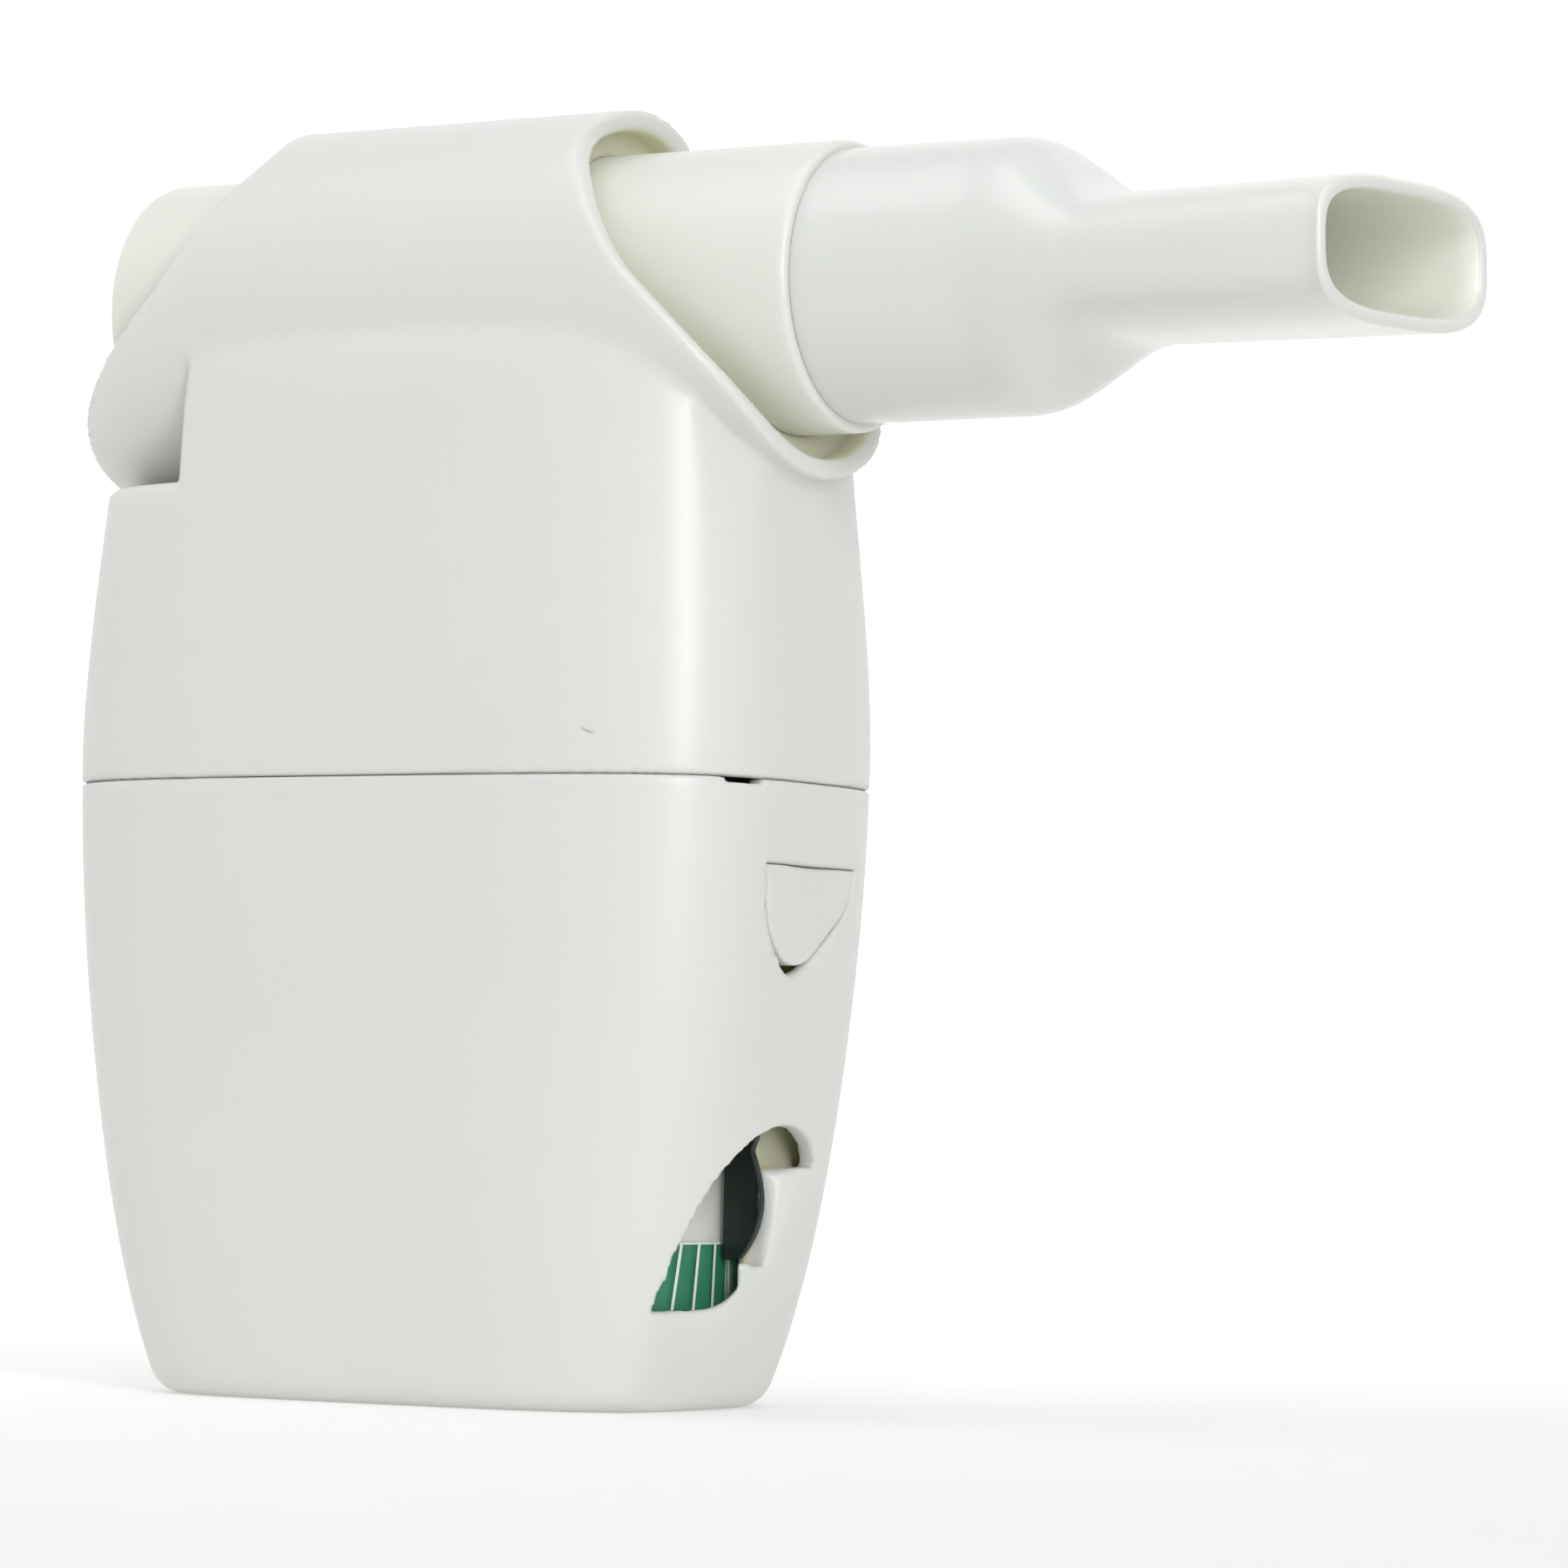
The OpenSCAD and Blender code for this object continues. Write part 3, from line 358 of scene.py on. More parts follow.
turn = np.arctan2(y, x)
radius = np.hypot(x, y)
ledge_block = np.maximum(np.maximum(ledge_turn[0] - turn, turn - ledge_turn[1]) * radius,
                         np.maximum(z - ledge_z, drum_face_r - radius))
# The lip's block, its foot, whose face lies along the camera's line of sight, and the slot's back wall
lip_x, lip_back, side_reach = 29.2, 8.5, 45
lip_block = block(x, y, z, (lip_x, lip_edge, 1), (side_reach, lip_back, lip_top))
foot_turn, foot_out, foot_x = math.radians(30.6), 25.05, 28.0
lip_foot = np.minimum(block(x, y, z, (foot_x, -6, 1), (side_reach, 6.0, 13.1)),
                      block(x, y, z, (foot_x, lip_edge, 12), (side_reach, lip_back, 15.2)))
lip_foot = np.maximum(foot_out - x * math.cos(foot_turn) - y * math.sin(foot_turn), lip_foot)
slot_back_x, slot_back_y = 27.7, 14.5
slot_back = np.minimum(block(x, y, z, (slot_back_x, 1.7, 14), (lip_x, slot_back_y, 24.6)),
                       block(x, y, z, (slot_back_x, 3.4, 14), (lip_x, slot_back_y, 27.0)))
lip_block = np.minimum(np.minimum(lip_block, lip_foot), slot_back)
cavity = cut(cut(cavity, ledge_block), lip_block)
lower_field = cut(lower_outer, cavity, 0.3)

# Four ribs inside stand against the chambers
rib_x, rib_t, rib_z = 6.0, 1.6, (29.6, 49.2)
chamber_r = 15.5
for side in (-1, 1):
    for place_x in (-rib_x, rib_x):
        rib = np.maximum(block(x, side * y, z, (place_x - rib_t / 2, chamber_r, rib_z[0]),
                               (place_x + rib_t / 2, 30, rib_z[1])), lower_outer + wall / 2)
        lower_field = join(lower_field, rib, 0.3)

# Low down, right of the scale, the window's edge follows the foot's slanting face
slant = math.tan(math.pi / 2 - foot_turn) * np.clip(31.0 - x, -1.5, 3.6)
slant = slant * np.clip((14.4 - z) / 1.2, 0, 1) * np.clip((y + 9) / 5, 0, 1)
window = outline_distance(window_outline, y - slant, z)
window = np.maximum(window, np.maximum(drum_face_r - radius, -x))
lower_field = cut(lower_field, cut(window, np.minimum(lip_foot, slot_back)), 0.3)

# Beside the lever the side turns inwards to the lip, and below the window a flat scoop clears a fingertip
lip_rise = np.clip((z - 12.5) / (lip_top - 12.5), 0, 1)
lip_face = (y - lip_edge - lip_rise * np.clip(x - 30.4, 0, 3.25)) / 1.25
lip_hollow = np.maximum(np.maximum(lip_face, 29.9 - x), np.maximum(-y - 0.5, z - lip_top))
lower_field = cut(lower_field, np.maximum(lip_hollow, lip_low - z), 1.2)
scoop_turn, scoop_lean, scoop_at = math.radians(-12.5), math.radians(17.6), 28.35
scoop_r = 60.0
scoop_out = x * math.cos(scoop_turn) + y * math.sin(scoop_turn) - scoop_at - math.tan(scoop_lean) * (z - 4.1)
scoop_across = -x * math.sin(scoop_turn) + y * math.cos(scoop_turn)
scoop = (-scoop_out + scoop_across ** 2 / (2 * scoop_r)) * math.cos(scoop_lean)
scoop = keep_both(scoop, z - 19.0, 6.0)
lower_field = cut(lower_field, scoop, 0.9)
# A moulded pointer on the window's front edge marks the scale
pointer_x, pointer_y, pointer_z, pointer_r = 28.7, -11.85, 12.2, 0.45
pointer = np.sqrt((x - pointer_x) ** 2 + (y - pointer_y) ** 2 + (z - pointer_z) ** 2) - pointer_r
lower_field = join(lower_field, pointer, 0.3)

# The latch buttons' openings, round below and straight above, and a shallow dish for the thumb under each
button_top = 47.9
button_side = [(-7.15, 49.0), (-7.15, 47.8), (-6.95, 46.4), (-6.6, 44.2), (-5.8, 42.0), (-4.4, 40.3),
               (-2.9, 39.4), (-1.2, 39.1), (0.6, 39.4), (2.0, 40.1), (3.6, 41.2), (5.2, 42.5), (7.0, 44.2),
               (8.2, 46.2), (8.6, 47.8), (8.6, 49.0)]
button_outline = curve_through(button_side, 60)


def button_plan(y, z, grow, drop=0.0):
    """Distance to the button's plan on the casing's side; it may grow evenly, and more at its low point."""
    lower = drop * np.exp(-((y + 0.9) / 3.2) ** 2)
    edge = outline_distance(button_outline, y, z + lower * (z < 44)) - grow
    return np.maximum(edge, z - button_top - grow / 4)


dish_x, dish_y, dish_z, dish_r = 60.2, 0.6, 37.0, 25.6
for side in (-1, 1):
    opening = np.maximum(button_plan(side * y, z, 0.07, 0.5), body_half_w * 0.8 - side * x)
    lower_field = cut(lower_field, opening, 0.15)
    dish = (side * x - dish_x) ** 2 + (side * y - dish_y) ** 2 * 2.2 + (z - dish_z) ** 2 * 1.4
    lower_field = cut(lower_field, np.sqrt(dish) - dish_r, 1.2)

# Beside the right latch the seam opens into a slot for a fingernail
slot = block(x, y, z, (32.0, -12.4, seam_z - 0.5), (40, -8.0, seam_z + 1))
lower_field = cut(lower_field, slot)

# Faces on the hollow take the inside finish, whose warm tint is painted bounced light
lower_casing = skin("lower_casing_shell", lower_field, low, shell_step, (casing_white, casing_inside_painted_bounce),
                    inner=cavity)
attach(lower_casing, "lower")
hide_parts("lower_casing")

# Upper casing
# The cap of the body and the cowl round the air duct, moulded in one piece of the same white ABS. The cowl's
# ends are cut in a long S, and the front panel rolls over into the cowl in a soft arch.
tube_z = 98.9
upper_h = tube_z - seam_z
cowl_r, cowl_wall, cowl_reach = 16.9, 1.9, 36.2
panel_left, shoulder_z, roof_z, cavity_top = -21.1, 82.2, 95.9, 93.5
upper_w_shares = [(0, 1), (0.156, 1), (0.247, 0.995), (0.339, 0.987), (0.43, 0.979), (0.522, 0.968),
                  (0.6, 0.957), (0.71, 0.947), (0.8, 0.941), (0.93, 0.932)]
upper_d_shares = [(0, 1), (0.092, 0.997), (0.253, 0.978), (0.369, 0.96), (0.475, 0.94), (0.6, 0.918),
                  (0.71, 0.9), (0.783, 0.887), (0.84, 0.868), (0.885, 0.842), (0.93, 0.795)]
cowl_cut = [(0.5, 1.1), (0.484, 0.95), (0.468, 0.82), (0.49, 0.69), (0.545, 0.51), (0.602, 0.31),
            (0.682, 0.065), (0.787, -0.17), (0.878, -0.385), (0.945, -0.57), (0.982, -0.72), (1, -0.86),
            (1, -1.15)]

low, high = (-38.0, -22.2, 51.0), (38.0, 22.2, 117.6)
x, y, z = lattice(low, high, shell_step)
height = np.clip((z - seam_z) / upper_h, 0, 0.97)
half_w = body_half_w * eased(height, upper_w_shares, 4)
half_d = body_half_d * eased(height, upper_d_shares, 7)
hood = plan_distance(x, y, half_w, half_d)
body = keep_both(keep_both(hood, seam_z - z, seam_edge), z - roof_z, 1.0)
notch = block(x, y, z, (-60, -60, shoulder_z), (panel_left, 60, 200))
body = cut(body, notch, 1.1)
tube = np.hypot(y, z - tube_z) - cowl_r
ends = curve_through([(a * cowl_reach, tube_z + b * cowl_r) for a, b in cowl_cut], 60)
beyond = [(2 * cowl_reach, tube_z - 1.15 * cowl_r), (2 * cowl_reach, tube_z + 1.1 * cowl_r)]
ends_distance = np.minimum(outline_distance(ends + beyond, x, z), outline_distance(ends + beyond, -x, z))
# Near its top the front right corner is tighter: a facet on its side, which fades out downwards
facet_turn, facet_lean, facet_out = math.radians(-24), -0.144, 34.66
facet = x * math.cos(facet_turn) + y * math.sin(facet_turn) - facet_out - facet_lean * (z - 80)
body = keep_both(body, facet, 0.2)
upper_outer = join(body, tube, 0.7)
upper_cavity = np.maximum(plan_distance(x, y, half_w - wall, half_d - wall), z - cavity_top)
upper_cavity = cut(upper_cavity, block(x, y, z, (-60, -60, shoulder_z - wall), (panel_left + wall, 60, 200)))
bore = np.hypot(y, z - tube_z) - (cowl_r - cowl_wall)
upper_field = cut(cut(upper_outer, upper_cavity, 0.3), bore, 0.3)
# At the cowl's right end a trough closes the hollow under the duct, and a sleeve holds the duct in the bore
trough_t, trough_drop, trough_from = 1.6, 6, 12
sleeve_depth, sleeve_r, sleeve_from = 2.4, 12.8, 8
trough = np.maximum(np.maximum(bore - trough_t, -bore), z - tube_z + trough_drop)
trough = np.maximum(trough, np.maximum(trough_from - x, x - cowl_reach))
sleeve = np.maximum(np.maximum(bore - 0.2, sleeve_r - np.hypot(y, z - tube_z)), sleeve_from - x)
sleeve = np.maximum(sleeve, sleeve_depth - ends_distance)
upper_field = join(upper_field, np.minimum(np.maximum(trough, hood + wall / 2), sleeve), 0.3)
upper_field = cut(upper_field, ends_distance, 0.5)

# The lip that drops into the lower casing, open at the latches, with their lugs, and the duct's four clips
lip_out, lip_in, lip_root_in, lip_l = 2.15, 3.35, 1.4, 3
beyond_lip = -plan_distance(x, y, body_half_w - lip_in, body_half_d - lip_in)
lip = np.maximum(plan_distance(x, y, body_half_w - lip_out, body_half_d - lip_out), z - seam_z - 1)
lip = keep_both(lip, beyond_lip, 0.2)
lip_root = np.maximum(plan_distance(x, y, body_half_w - lip_root_in, body_half_d - lip_root_in), beyond_lip)
lip = join(lip, np.maximum(lip_root, np.maximum(z - seam_z - 2.5, seam_z + 0.3 - z)))
lip = np.maximum(lip, seam_z - lip_l - z)
pivot_x, pivot_z, pivot_hole_r = 32.85, 58.7, 1.25
latch_gap_y = 7.5
lip = cut(lip, block(np.abs(x), y, z, (29.6, -latch_gap_y, 50), (34, latch_gap_y, 56.4)))
lip = cut(lip, block(x, y, z, (30.0, -12.6, 50), (40, -7.8, seam_z + 1.2)))
upper_field = join(upper_field, lip, 0.2)
lug_at, lug_half_t, lug_half_h = 6.2, 0.9, 2.2
for lug_y in (-lug_at, lug_at):
    lug = block(np.abs(x), y, z, (pivot_x - 1.6, lug_y - lug_half_t, pivot_z - lug_half_h),
                (38, lug_y + lug_half_t, pivot_z + lug_half_h))
    upper_field = join(upper_field, np.maximum(lug, hood + wall / 2), 0.2)
pivot_hole = np.hypot(np.abs(x) - pivot_x, z - pivot_z) - pivot_hole_r
upper_field = cut(upper_field, pivot_hole + 10 * (np.abs(y) > lug_at + lug_half_t))
flange_z, flange_t = 79.6, 1.5
clip_half_t, clip_low, clip_high = 0.8, 78.6, 82.5
for clip_x in (-13.5, -5.5):
    clip = block(x, np.abs(y), z, (clip_x - clip_half_t, 9.5, clip_low),
                 (clip_x + clip_half_t, 40, clip_high))
    clip = cut(np.maximum(clip, hood + wall / 2),
               block(x, np.abs(y), z, (-60, 0, flange_z), (60, 11.0, flange_z + flange_t)))
    upper_field = join(upper_field, clip, 0.2)

# Faces on the hollow and the bore take the inside finish, whose warm tint is painted bounced light
upper_casing = skin("upper_casing_shell", upper_field, low, shell_step, (casing_white, casing_inside_painted_bounce),
                    inner=np.minimum(upper_cavity, bore + 0 * x))
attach(upper_casing, "upper")
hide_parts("upper_casing")

# Latch buttons
# One on each end of the body: a D-shaped push button on a thin leg, moulded in one piece of white ABS.
# The leg hangs from a pin in the upper casing's lugs, and its face lies in the lower casing's opening.
latch_step = 0.22
leg_x, leg_t, leg_w, leg_low = 32.25, 1.4, 10.0, 40.1
pin_r, pin_l = 1.2, 14.0

low, high = (29.0, -9.6, 37.6), (37.6, 9.6, 61.2)
x, y, z = lattice(low, high, latch_step)
height = np.clip(z / seam_z, 0, 1)
face = plan_distance(x, y, body_half_w * eased(height, lower_w_shares),
                     body_half_d * eased(height, lower_d_shares))
face = keep_both(face + 0.12, leg_x + leg_t / 2 - x)
latch = keep_both(face, button_plan(y, z, -0.08), 0.25)
thumb_rest = np.sqrt((x - 66.5) ** 2 + (y - 0.8) ** 2 * 1.6 + (z - 43.6) ** 2 * 2.0) - 31.4
latch = cut(latch, thumb_rest, 1.0)
leg = block(x, y, z, (leg_x, -leg_w / 2, leg_low), (leg_x + leg_t, leg_w / 2, pivot_z + 0.6))
pin = np.maximum(np.hypot(x - pivot_x, z - pivot_z) - pin_r, np.abs(y) - pin_l / 2)
latch = join(join(latch, leg, 0.5), cut(pin, pivot_z + 1.0 - z), 0.3)
for side, hand in ((1, "right"), (-1, "left")):
    button = skin("latch_button_" + hand, latch, low, latch_step, (casing_white,))
    if side < 0:
        turned = np.array([v.co for v in button.data.vertices]) * (-1, -1, 1)
        shading = np.array([v.normal for v in button.data.vertices]) * (-1, -1, 1)
        button.data.vertices.foreach_set("co", turned.ravel())
        button.data.normals_split_custom_set_from_vertices(shading)
    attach(button, "button_" + hand)
    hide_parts("latch_" + hand)

# Mouthpiece
# A separate tube that pushes into the duct's neck on a 22 mm cone. It is moulded in white polypropylene,
# round at the collar, and flows over a shoulder into a flat oval end that the lips close on.
neck_end, spigot_l, spigot_r = 39.5, 18.0, 11.1
collar_r, collar_end, mouth_end = 12.1, 56.0, 92.4
mouth_w, mouth_h, mouth_wall = 33.2, 12.6, 1.3
mouth_turn = math.radians(3)
ring_points = 144
shoulder_shares = [(0, 0), (0.03, 0.012), (0.07, 0.07), (0.11, 0.2), (0.15, 0.4), (0.19, 0.62), (0.23, 0.81),
                   (0.28, 0.95), (0.34, 1)]
power_shares = [(0, 2), (0.11, 2.15), (0.19, 2.4), (0.28, 2.6), (0.65, 3.0), (1, 3.3)]
mouth_l = mouth_end - collar_end


def mouth_ring(place, half_h, half_w, power):
    """A ring of the mouthpiece: a squared-off oval, turned with it about the tube's axis."""
    a = np.linspace(0, 2 * math.pi, ring_points, endpoint=False)
    across = half_w * np.sign(np.cos(a)) * np.abs(np.cos(a)) ** (2 / power)
    rise = half_h * np.sign(np.sin(a)) * np.abs(np.sin(a)) ** (2 / power)
    return np.stack([np.full(ring_points, place), across * math.cos(mouth_turn) - rise * math.sin(mouth_turn),
                     across * math.sin(mouth_turn) + rise * math.cos(mouth_turn) + tube_z], 1)


def rings_mesh(name, rings, finishes, inner_from):
    """A mesh through rings of points; the last ring joins the first. The inside starts at ring inner_from."""
    count, n = len(rings), len(rings[0])
    faces = [(k * n + i, k * n + (i + 1) % n, (k + 1) % count * n + (i + 1) % n, (k + 1) % count * n + i)
             for k in range(count) for i in range(n)]
    mesh = bpy.data.meshes.new(name)
    mesh.from_pydata((np.concatenate(rings) * MM).tolist(), [], faces)
    mesh.shade_smooth()
    for finish in finishes:
        mesh.materials.append(finish)
    mesh.polygons.foreach_set("material_index", [int(f // n >= inner_from) for f in range(len(faces))])
    return link_object(name, mesh)


def mouth_row(share, inset):
    """Half height, half width and squareness of the mouthpiece at a share of its length from the collar."""
    half_h = collar_r - curve_at(shoulder_shares, share) * (collar_r - mouth_h / 2) - inset
    half_w = collar_r + share * (mouth_w / 2 - collar_r) - inset
    return half_h, half_w, curve_at(power_shares, share)


def curve_at(table, t):
    """A smooth curve through a table of (place, value), flat beyond its ends."""
    at, value = np.array(table, float).T
    slope = np.gradient(value, at)
    slope[0] = slope[-1] = 0
    i = int(np.clip(np.searchsorted(at, t, side="right") - 1, 0, len(at) - 2))
    h = at[i + 1] - at[i]
    s = min(max((t - at[i]) / h, 0), 1)
    return ((2 * s ** 3 - 3 * s ** 2 + 1) * value[i] + (s ** 3 - 2 * s ** 2 + s) * h * slope[i]
            + (3 * s ** 2 - 2 * s ** 3) * value[i + 1] + (s ** 3 - s ** 2) * h * slope[i + 1])


mouth_shares = np.concatenate([np.linspace(0.005, 0.36, 30), np.linspace(0.40, 0.985, 14)])
tip_r = spigot_r - spigot_l / 80
rim_r = 0.15
outer_rings = [(neck_end - spigot_l, tip_r - 0.4, tip_r - 0.4, 2),
               (neck_end - spigot_l + 0.4, tip_r, tip_r, 2),
               (neck_end - 0.02, spigot_r, spigot_r, 2), (neck_end, spigot_r, spigot_r, 2),
               (neck_end, collar_r - rim_r, collar_r - rim_r, 2)]
outer_rings += [(neck_end + rim_r * (1 - math.cos(a)), collar_r - rim_r * (1 - math.sin(a)),
                 collar_r - rim_r * (1 - math.sin(a)), 2) for a in np.linspace(0.3, math.pi / 2, 5)]
outer_rings += [(p, collar_r, collar_r, 2) for p in np.linspace(neck_end + 1.5, collar_end, 8)]
outer_rings += [(collar_end + s * mouth_l, *mouth_row(s, 0)) for s in mouth_shares]
end_h, end_w, end_power = mouth_row(1, 0)
end_edge = 0.55
rim_rings = [(mouth_end - end_edge * (1 - math.sin(a)), end_h - end_edge * (1 - math.cos(a)),
              end_w - end_edge * (1 - math.cos(a)), end_power) for a in np.linspace(0.1, math.pi / 2, 6)]
rim_rings += [(mouth_end - end_edge * (1 - math.sin(a)), end_h - mouth_wall + end_edge * (1 - math.cos(a)),
               end_w - mouth_wall + end_edge * (1 - math.cos(a)), end_power)
              for a in np.linspace(math.pi / 2 - 0.05, 0.1, 6)]
inner_rings = [(collar_end + s * mouth_l, *mouth_row(s, mouth_wall)) for s in mouth_shares[::-1]]
inner_rings += [(p, collar_r - mouth_wall, collar_r - mouth_wall, 2) for p in (collar_end, neck_end + 5)]
inner_rings += [(neck_end + 1, tip_r - mouth_wall, tip_r - mouth_wall, 2),
                (neck_end - spigot_l, tip_r - mouth_wall, tip_r - mouth_wall, 2)]
# Satin polypropylene: a little whiter and glossier than the body, so that it shows the lamps as soft glints.
mouth_white = moulded("polypropylene_white_moulded", "#d9dcd9", "#d6d9d5", 0.24, grain_depth=0.006)
# The mouthpiece's inside takes a lighter copy of the same white: painted light in the tube's shaded inside.
mouth_inside_painted_light = moulded("polypropylene_white_inside_painted_light", "#e9eae2", "#e6e7de", 0.35)
mouthpiece = rings_mesh("mouthpiece_tube", [mouth_ring(*r) for r in outer_rings + rim_rings + inner_rings],
                        (mouth_white, mouth_inside_painted_light), inner_from=len(outer_rings) + len(rim_rings) - 2)
mouthpiece.data.flip_normals()
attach(mouthpiece, "mouth")
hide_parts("mouthpiece")

# Air duct
# The straight tube under the cowl, with the spout down to the chambers and its flange, moulded in ivory ABS.
# Its right end is the neck that takes the mouthpiece, with a rounded rim; its left end is the rear port.
duct_r, duct_bore_r, duct_step = 12.9, 9.9, 0.34
port_end, port_r, port_depth = 32.5, 11.0, 12.0
spout_x, spout_l, spout_w, spout_wall, flange_edge = -9.5, 14.0, 16.0, 1.4, 3
seat_x = port_depth - port_end
low, high = (-34.2, -14.4, 77.8), (41.2, 14.4, 113.4)
x, y, z = lattice(low, high, duct_step)
along = np.hypot(y, z - tube_z)
duct = keep_both(along - duct_r, np.maximum(x - neck_end, -port_end - x), 0.6)
spout_from, spout_to = spout_x - spout_l / 2, spout_x + spout_l / 2
spout = block(x, y, z, (spout_from, -spout_w / 2, flange_z), (spout_to, spout_w / 2, tube_z))
flange = block(x, y, z, (spout_from - flange_edge, -spout_w / 2 - flange_edge, flange_z),
               (spout_to + flange_edge, spout_w / 2 + flange_edge, flange_z + flange_t))
duct = join(join(duct, spout, 1.0), flange, 0.5)
# The way through it: the port, the valve seat's groove, the bore, the cone for the spigot, and the spout
duct_way = np.minimum(np.maximum(along - port_r, np.maximum(x - seat_x, -port_end - 5 - x)),
                      np.maximum(along - port_r - 0.3, np.maximum(x - seat_x - 2, seat_x - x)))
duct_way = np.minimum(duct_way, np.maximum(along - duct_bore_r, seat_x + 1.9 - x))
duct_way = np.minimum(duct_way, np.maximum(along - spigot_r - 0.05 - (x - neck_end) / 80,
                                           neck_end - spigot_l - 2 - x))
duct_way = np.minimum(duct_way, block(x, y, z, (spout_from + spout_wall, -spout_w / 2 + spout_wall, 70),
                                      (spout_to - spout_wall, spout_w / 2 - spout_wall, tube_z)))
duct = cut(duct, duct_way, 0.35)
duct_ivory = moulded("abs_ivory_satin_moulded", "#dfe0da", "#dcddd6", 0.34)
air_duct = skin("air_duct_tube", duct, low, duct_step, (duct_ivory,))
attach(air_duct, "upper")
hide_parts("air_duct")

# Resistance lever
# The small fin that a fingertip moves along the scale. It is moulded in glossy black ABS, and its ring turns
# on the lower chamber's boss.
hub_z, hub_h, ring_top = 24.8, 3.0, 29.3
boss_r, bypass_at, bypass_r, shutter_edge = 7.0, 11.0, 2.0, 2.6
bypass_way = (-0.766, 0.643)
arm_l, arm_half_w = 28.75, 3
fin_front, fin_back, fin_edge_r = -0.2, 0.65, 0.12
fin_rim = [(29.2, 13.36), (30.1, 14.5), (30.8, 15.75), (31.25, 17.15), (31.4, 18.55), (31.3, 19.6),
           (31.05, 20.8), (30.6, 22.2), (30.35, 22.9), (30.55, 23.5), (30.8, 24.2), (30.5, 25.3),
           (29.5, 26.2)]
fin_rest = [(29.0, 27.8), (25.2, 27.8), (25.2, 25.0), (27.55, 23.4), (27.55, 13.6), (27.85, 13.32)]
fin_step, lever_step = 0.1, 0.25
fin_low, fin_high = (24.9, -0.6, 12.9), (31.9, 1.6, 28.3)
x, y, z = lattice(fin_low, fin_high, fin_step)
fin = outline_distance(curve_through(fin_rim, 50) + fin_rest, x, z)
fin = keep_both(fin, np.maximum(fin_front - y, y - fin_back), fin_edge_r)
low, high = (-14.5, -14.5, 24.0), (30.0, 14.5, 30.2)
x, y, z = lattice(low, high, lever_step)
hub_r = np.hypot(x, y)
lever = np.maximum(hub_r - boss_r - shutter_edge, np.maximum(hub_z - z, z - hub_z - hub_h))
shutter = np.maximum(hub_r - bypass_at - shutter_edge, np.maximum(hub_z + hub_h - z, z - ring_top))
arm = block(x, y, z, (0, -arm_half_w, hub_z + 0.04), (arm_l, arm_half_w, hub_z + hub_h))
lever = keep_both(join(np.minimum(lever, shutter), arm, 0.4), z - ring_top, 0.3)
bypass = np.hypot(x - bypass_at * bypass_way[0], y - bypass_at * bypass_way[1]) - bypass_r
lever = cut(lever, np.minimum(hub_r - boss_r - 0.04, bypass) + 0 * z, 0.25)
# Gloss from a polished mould: near black with a green cast, and a faint uneven shine from handling.
lever_black, tree, shader = new_material("abs_black_gloss_moulded", Roughness=0.2, IOR=1.54,
                                         Specular_IOR_Level=0.28)
place = add_node(tree, "ShaderNodeTexCoord").outputs["Object"]
wear = add_node(tree, "ShaderNodeTexNoise",
                inputs={"Scale": 1 / (2.5 * MM), "Detail": 4.0, "Vector": place}).outputs["Fac"]
sheen = add_node(tree, "ShaderNodeMapRange", inputs={"To Min": 0.16, "To Max": 0.32, "Value": wear})
tree.links.new(sheen.outputs["Result"], shader.inputs["Roughness"])
tone = add_node(tree, "ShaderNodeMix", {"data_type": "RGBA"},
                {"Factor": wear, mix_a: to_linear("#181f1c"), mix_b: to_linear("#1d2622")})
tree.links.new(tone.outputs[mix_result], shader.inputs["Base Color"])
for name, field, corner, step in (("resistance_lever_ring", lever, low, lever_step),
                                  ("resistance_lever_fin", fin, fin_low, fin_step)):
    lever_piece = skin(name, field, corner, step, (lever_black,))
    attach(lever_piece, "lever")
    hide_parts("resistance_lever")

# Resistance scale
# A thin label round the drum behind the lever, screen-printed in teal green on white film. White lines part
# its fields, and the field at the far end is printed in a lighter tint, which is painted lighter still
# against the shade there.
scale_pitch, scale_first, scale_lines, line_w = 4.95, -27.0, 7, 0.36
scale_low, scale_high, rim_line = 8.9, 14.8, 0.16
label_r, ink_t = 27.39, 0.02
lean_at_front, lean_share = 0.4, 0.15
light_from, light_line, light_rim = 2.6, 1.4, 1.3
scale_green, tree, shader = new_material("label_screen_printed_green", Roughness=0.35, IOR=1.5)
place = add_node(tree, "ShaderNodeTexCoord").outputs["Object"]
spot = add_node(tree, "ShaderNodeSeparateXYZ", inputs={"Vector": place}).outputs
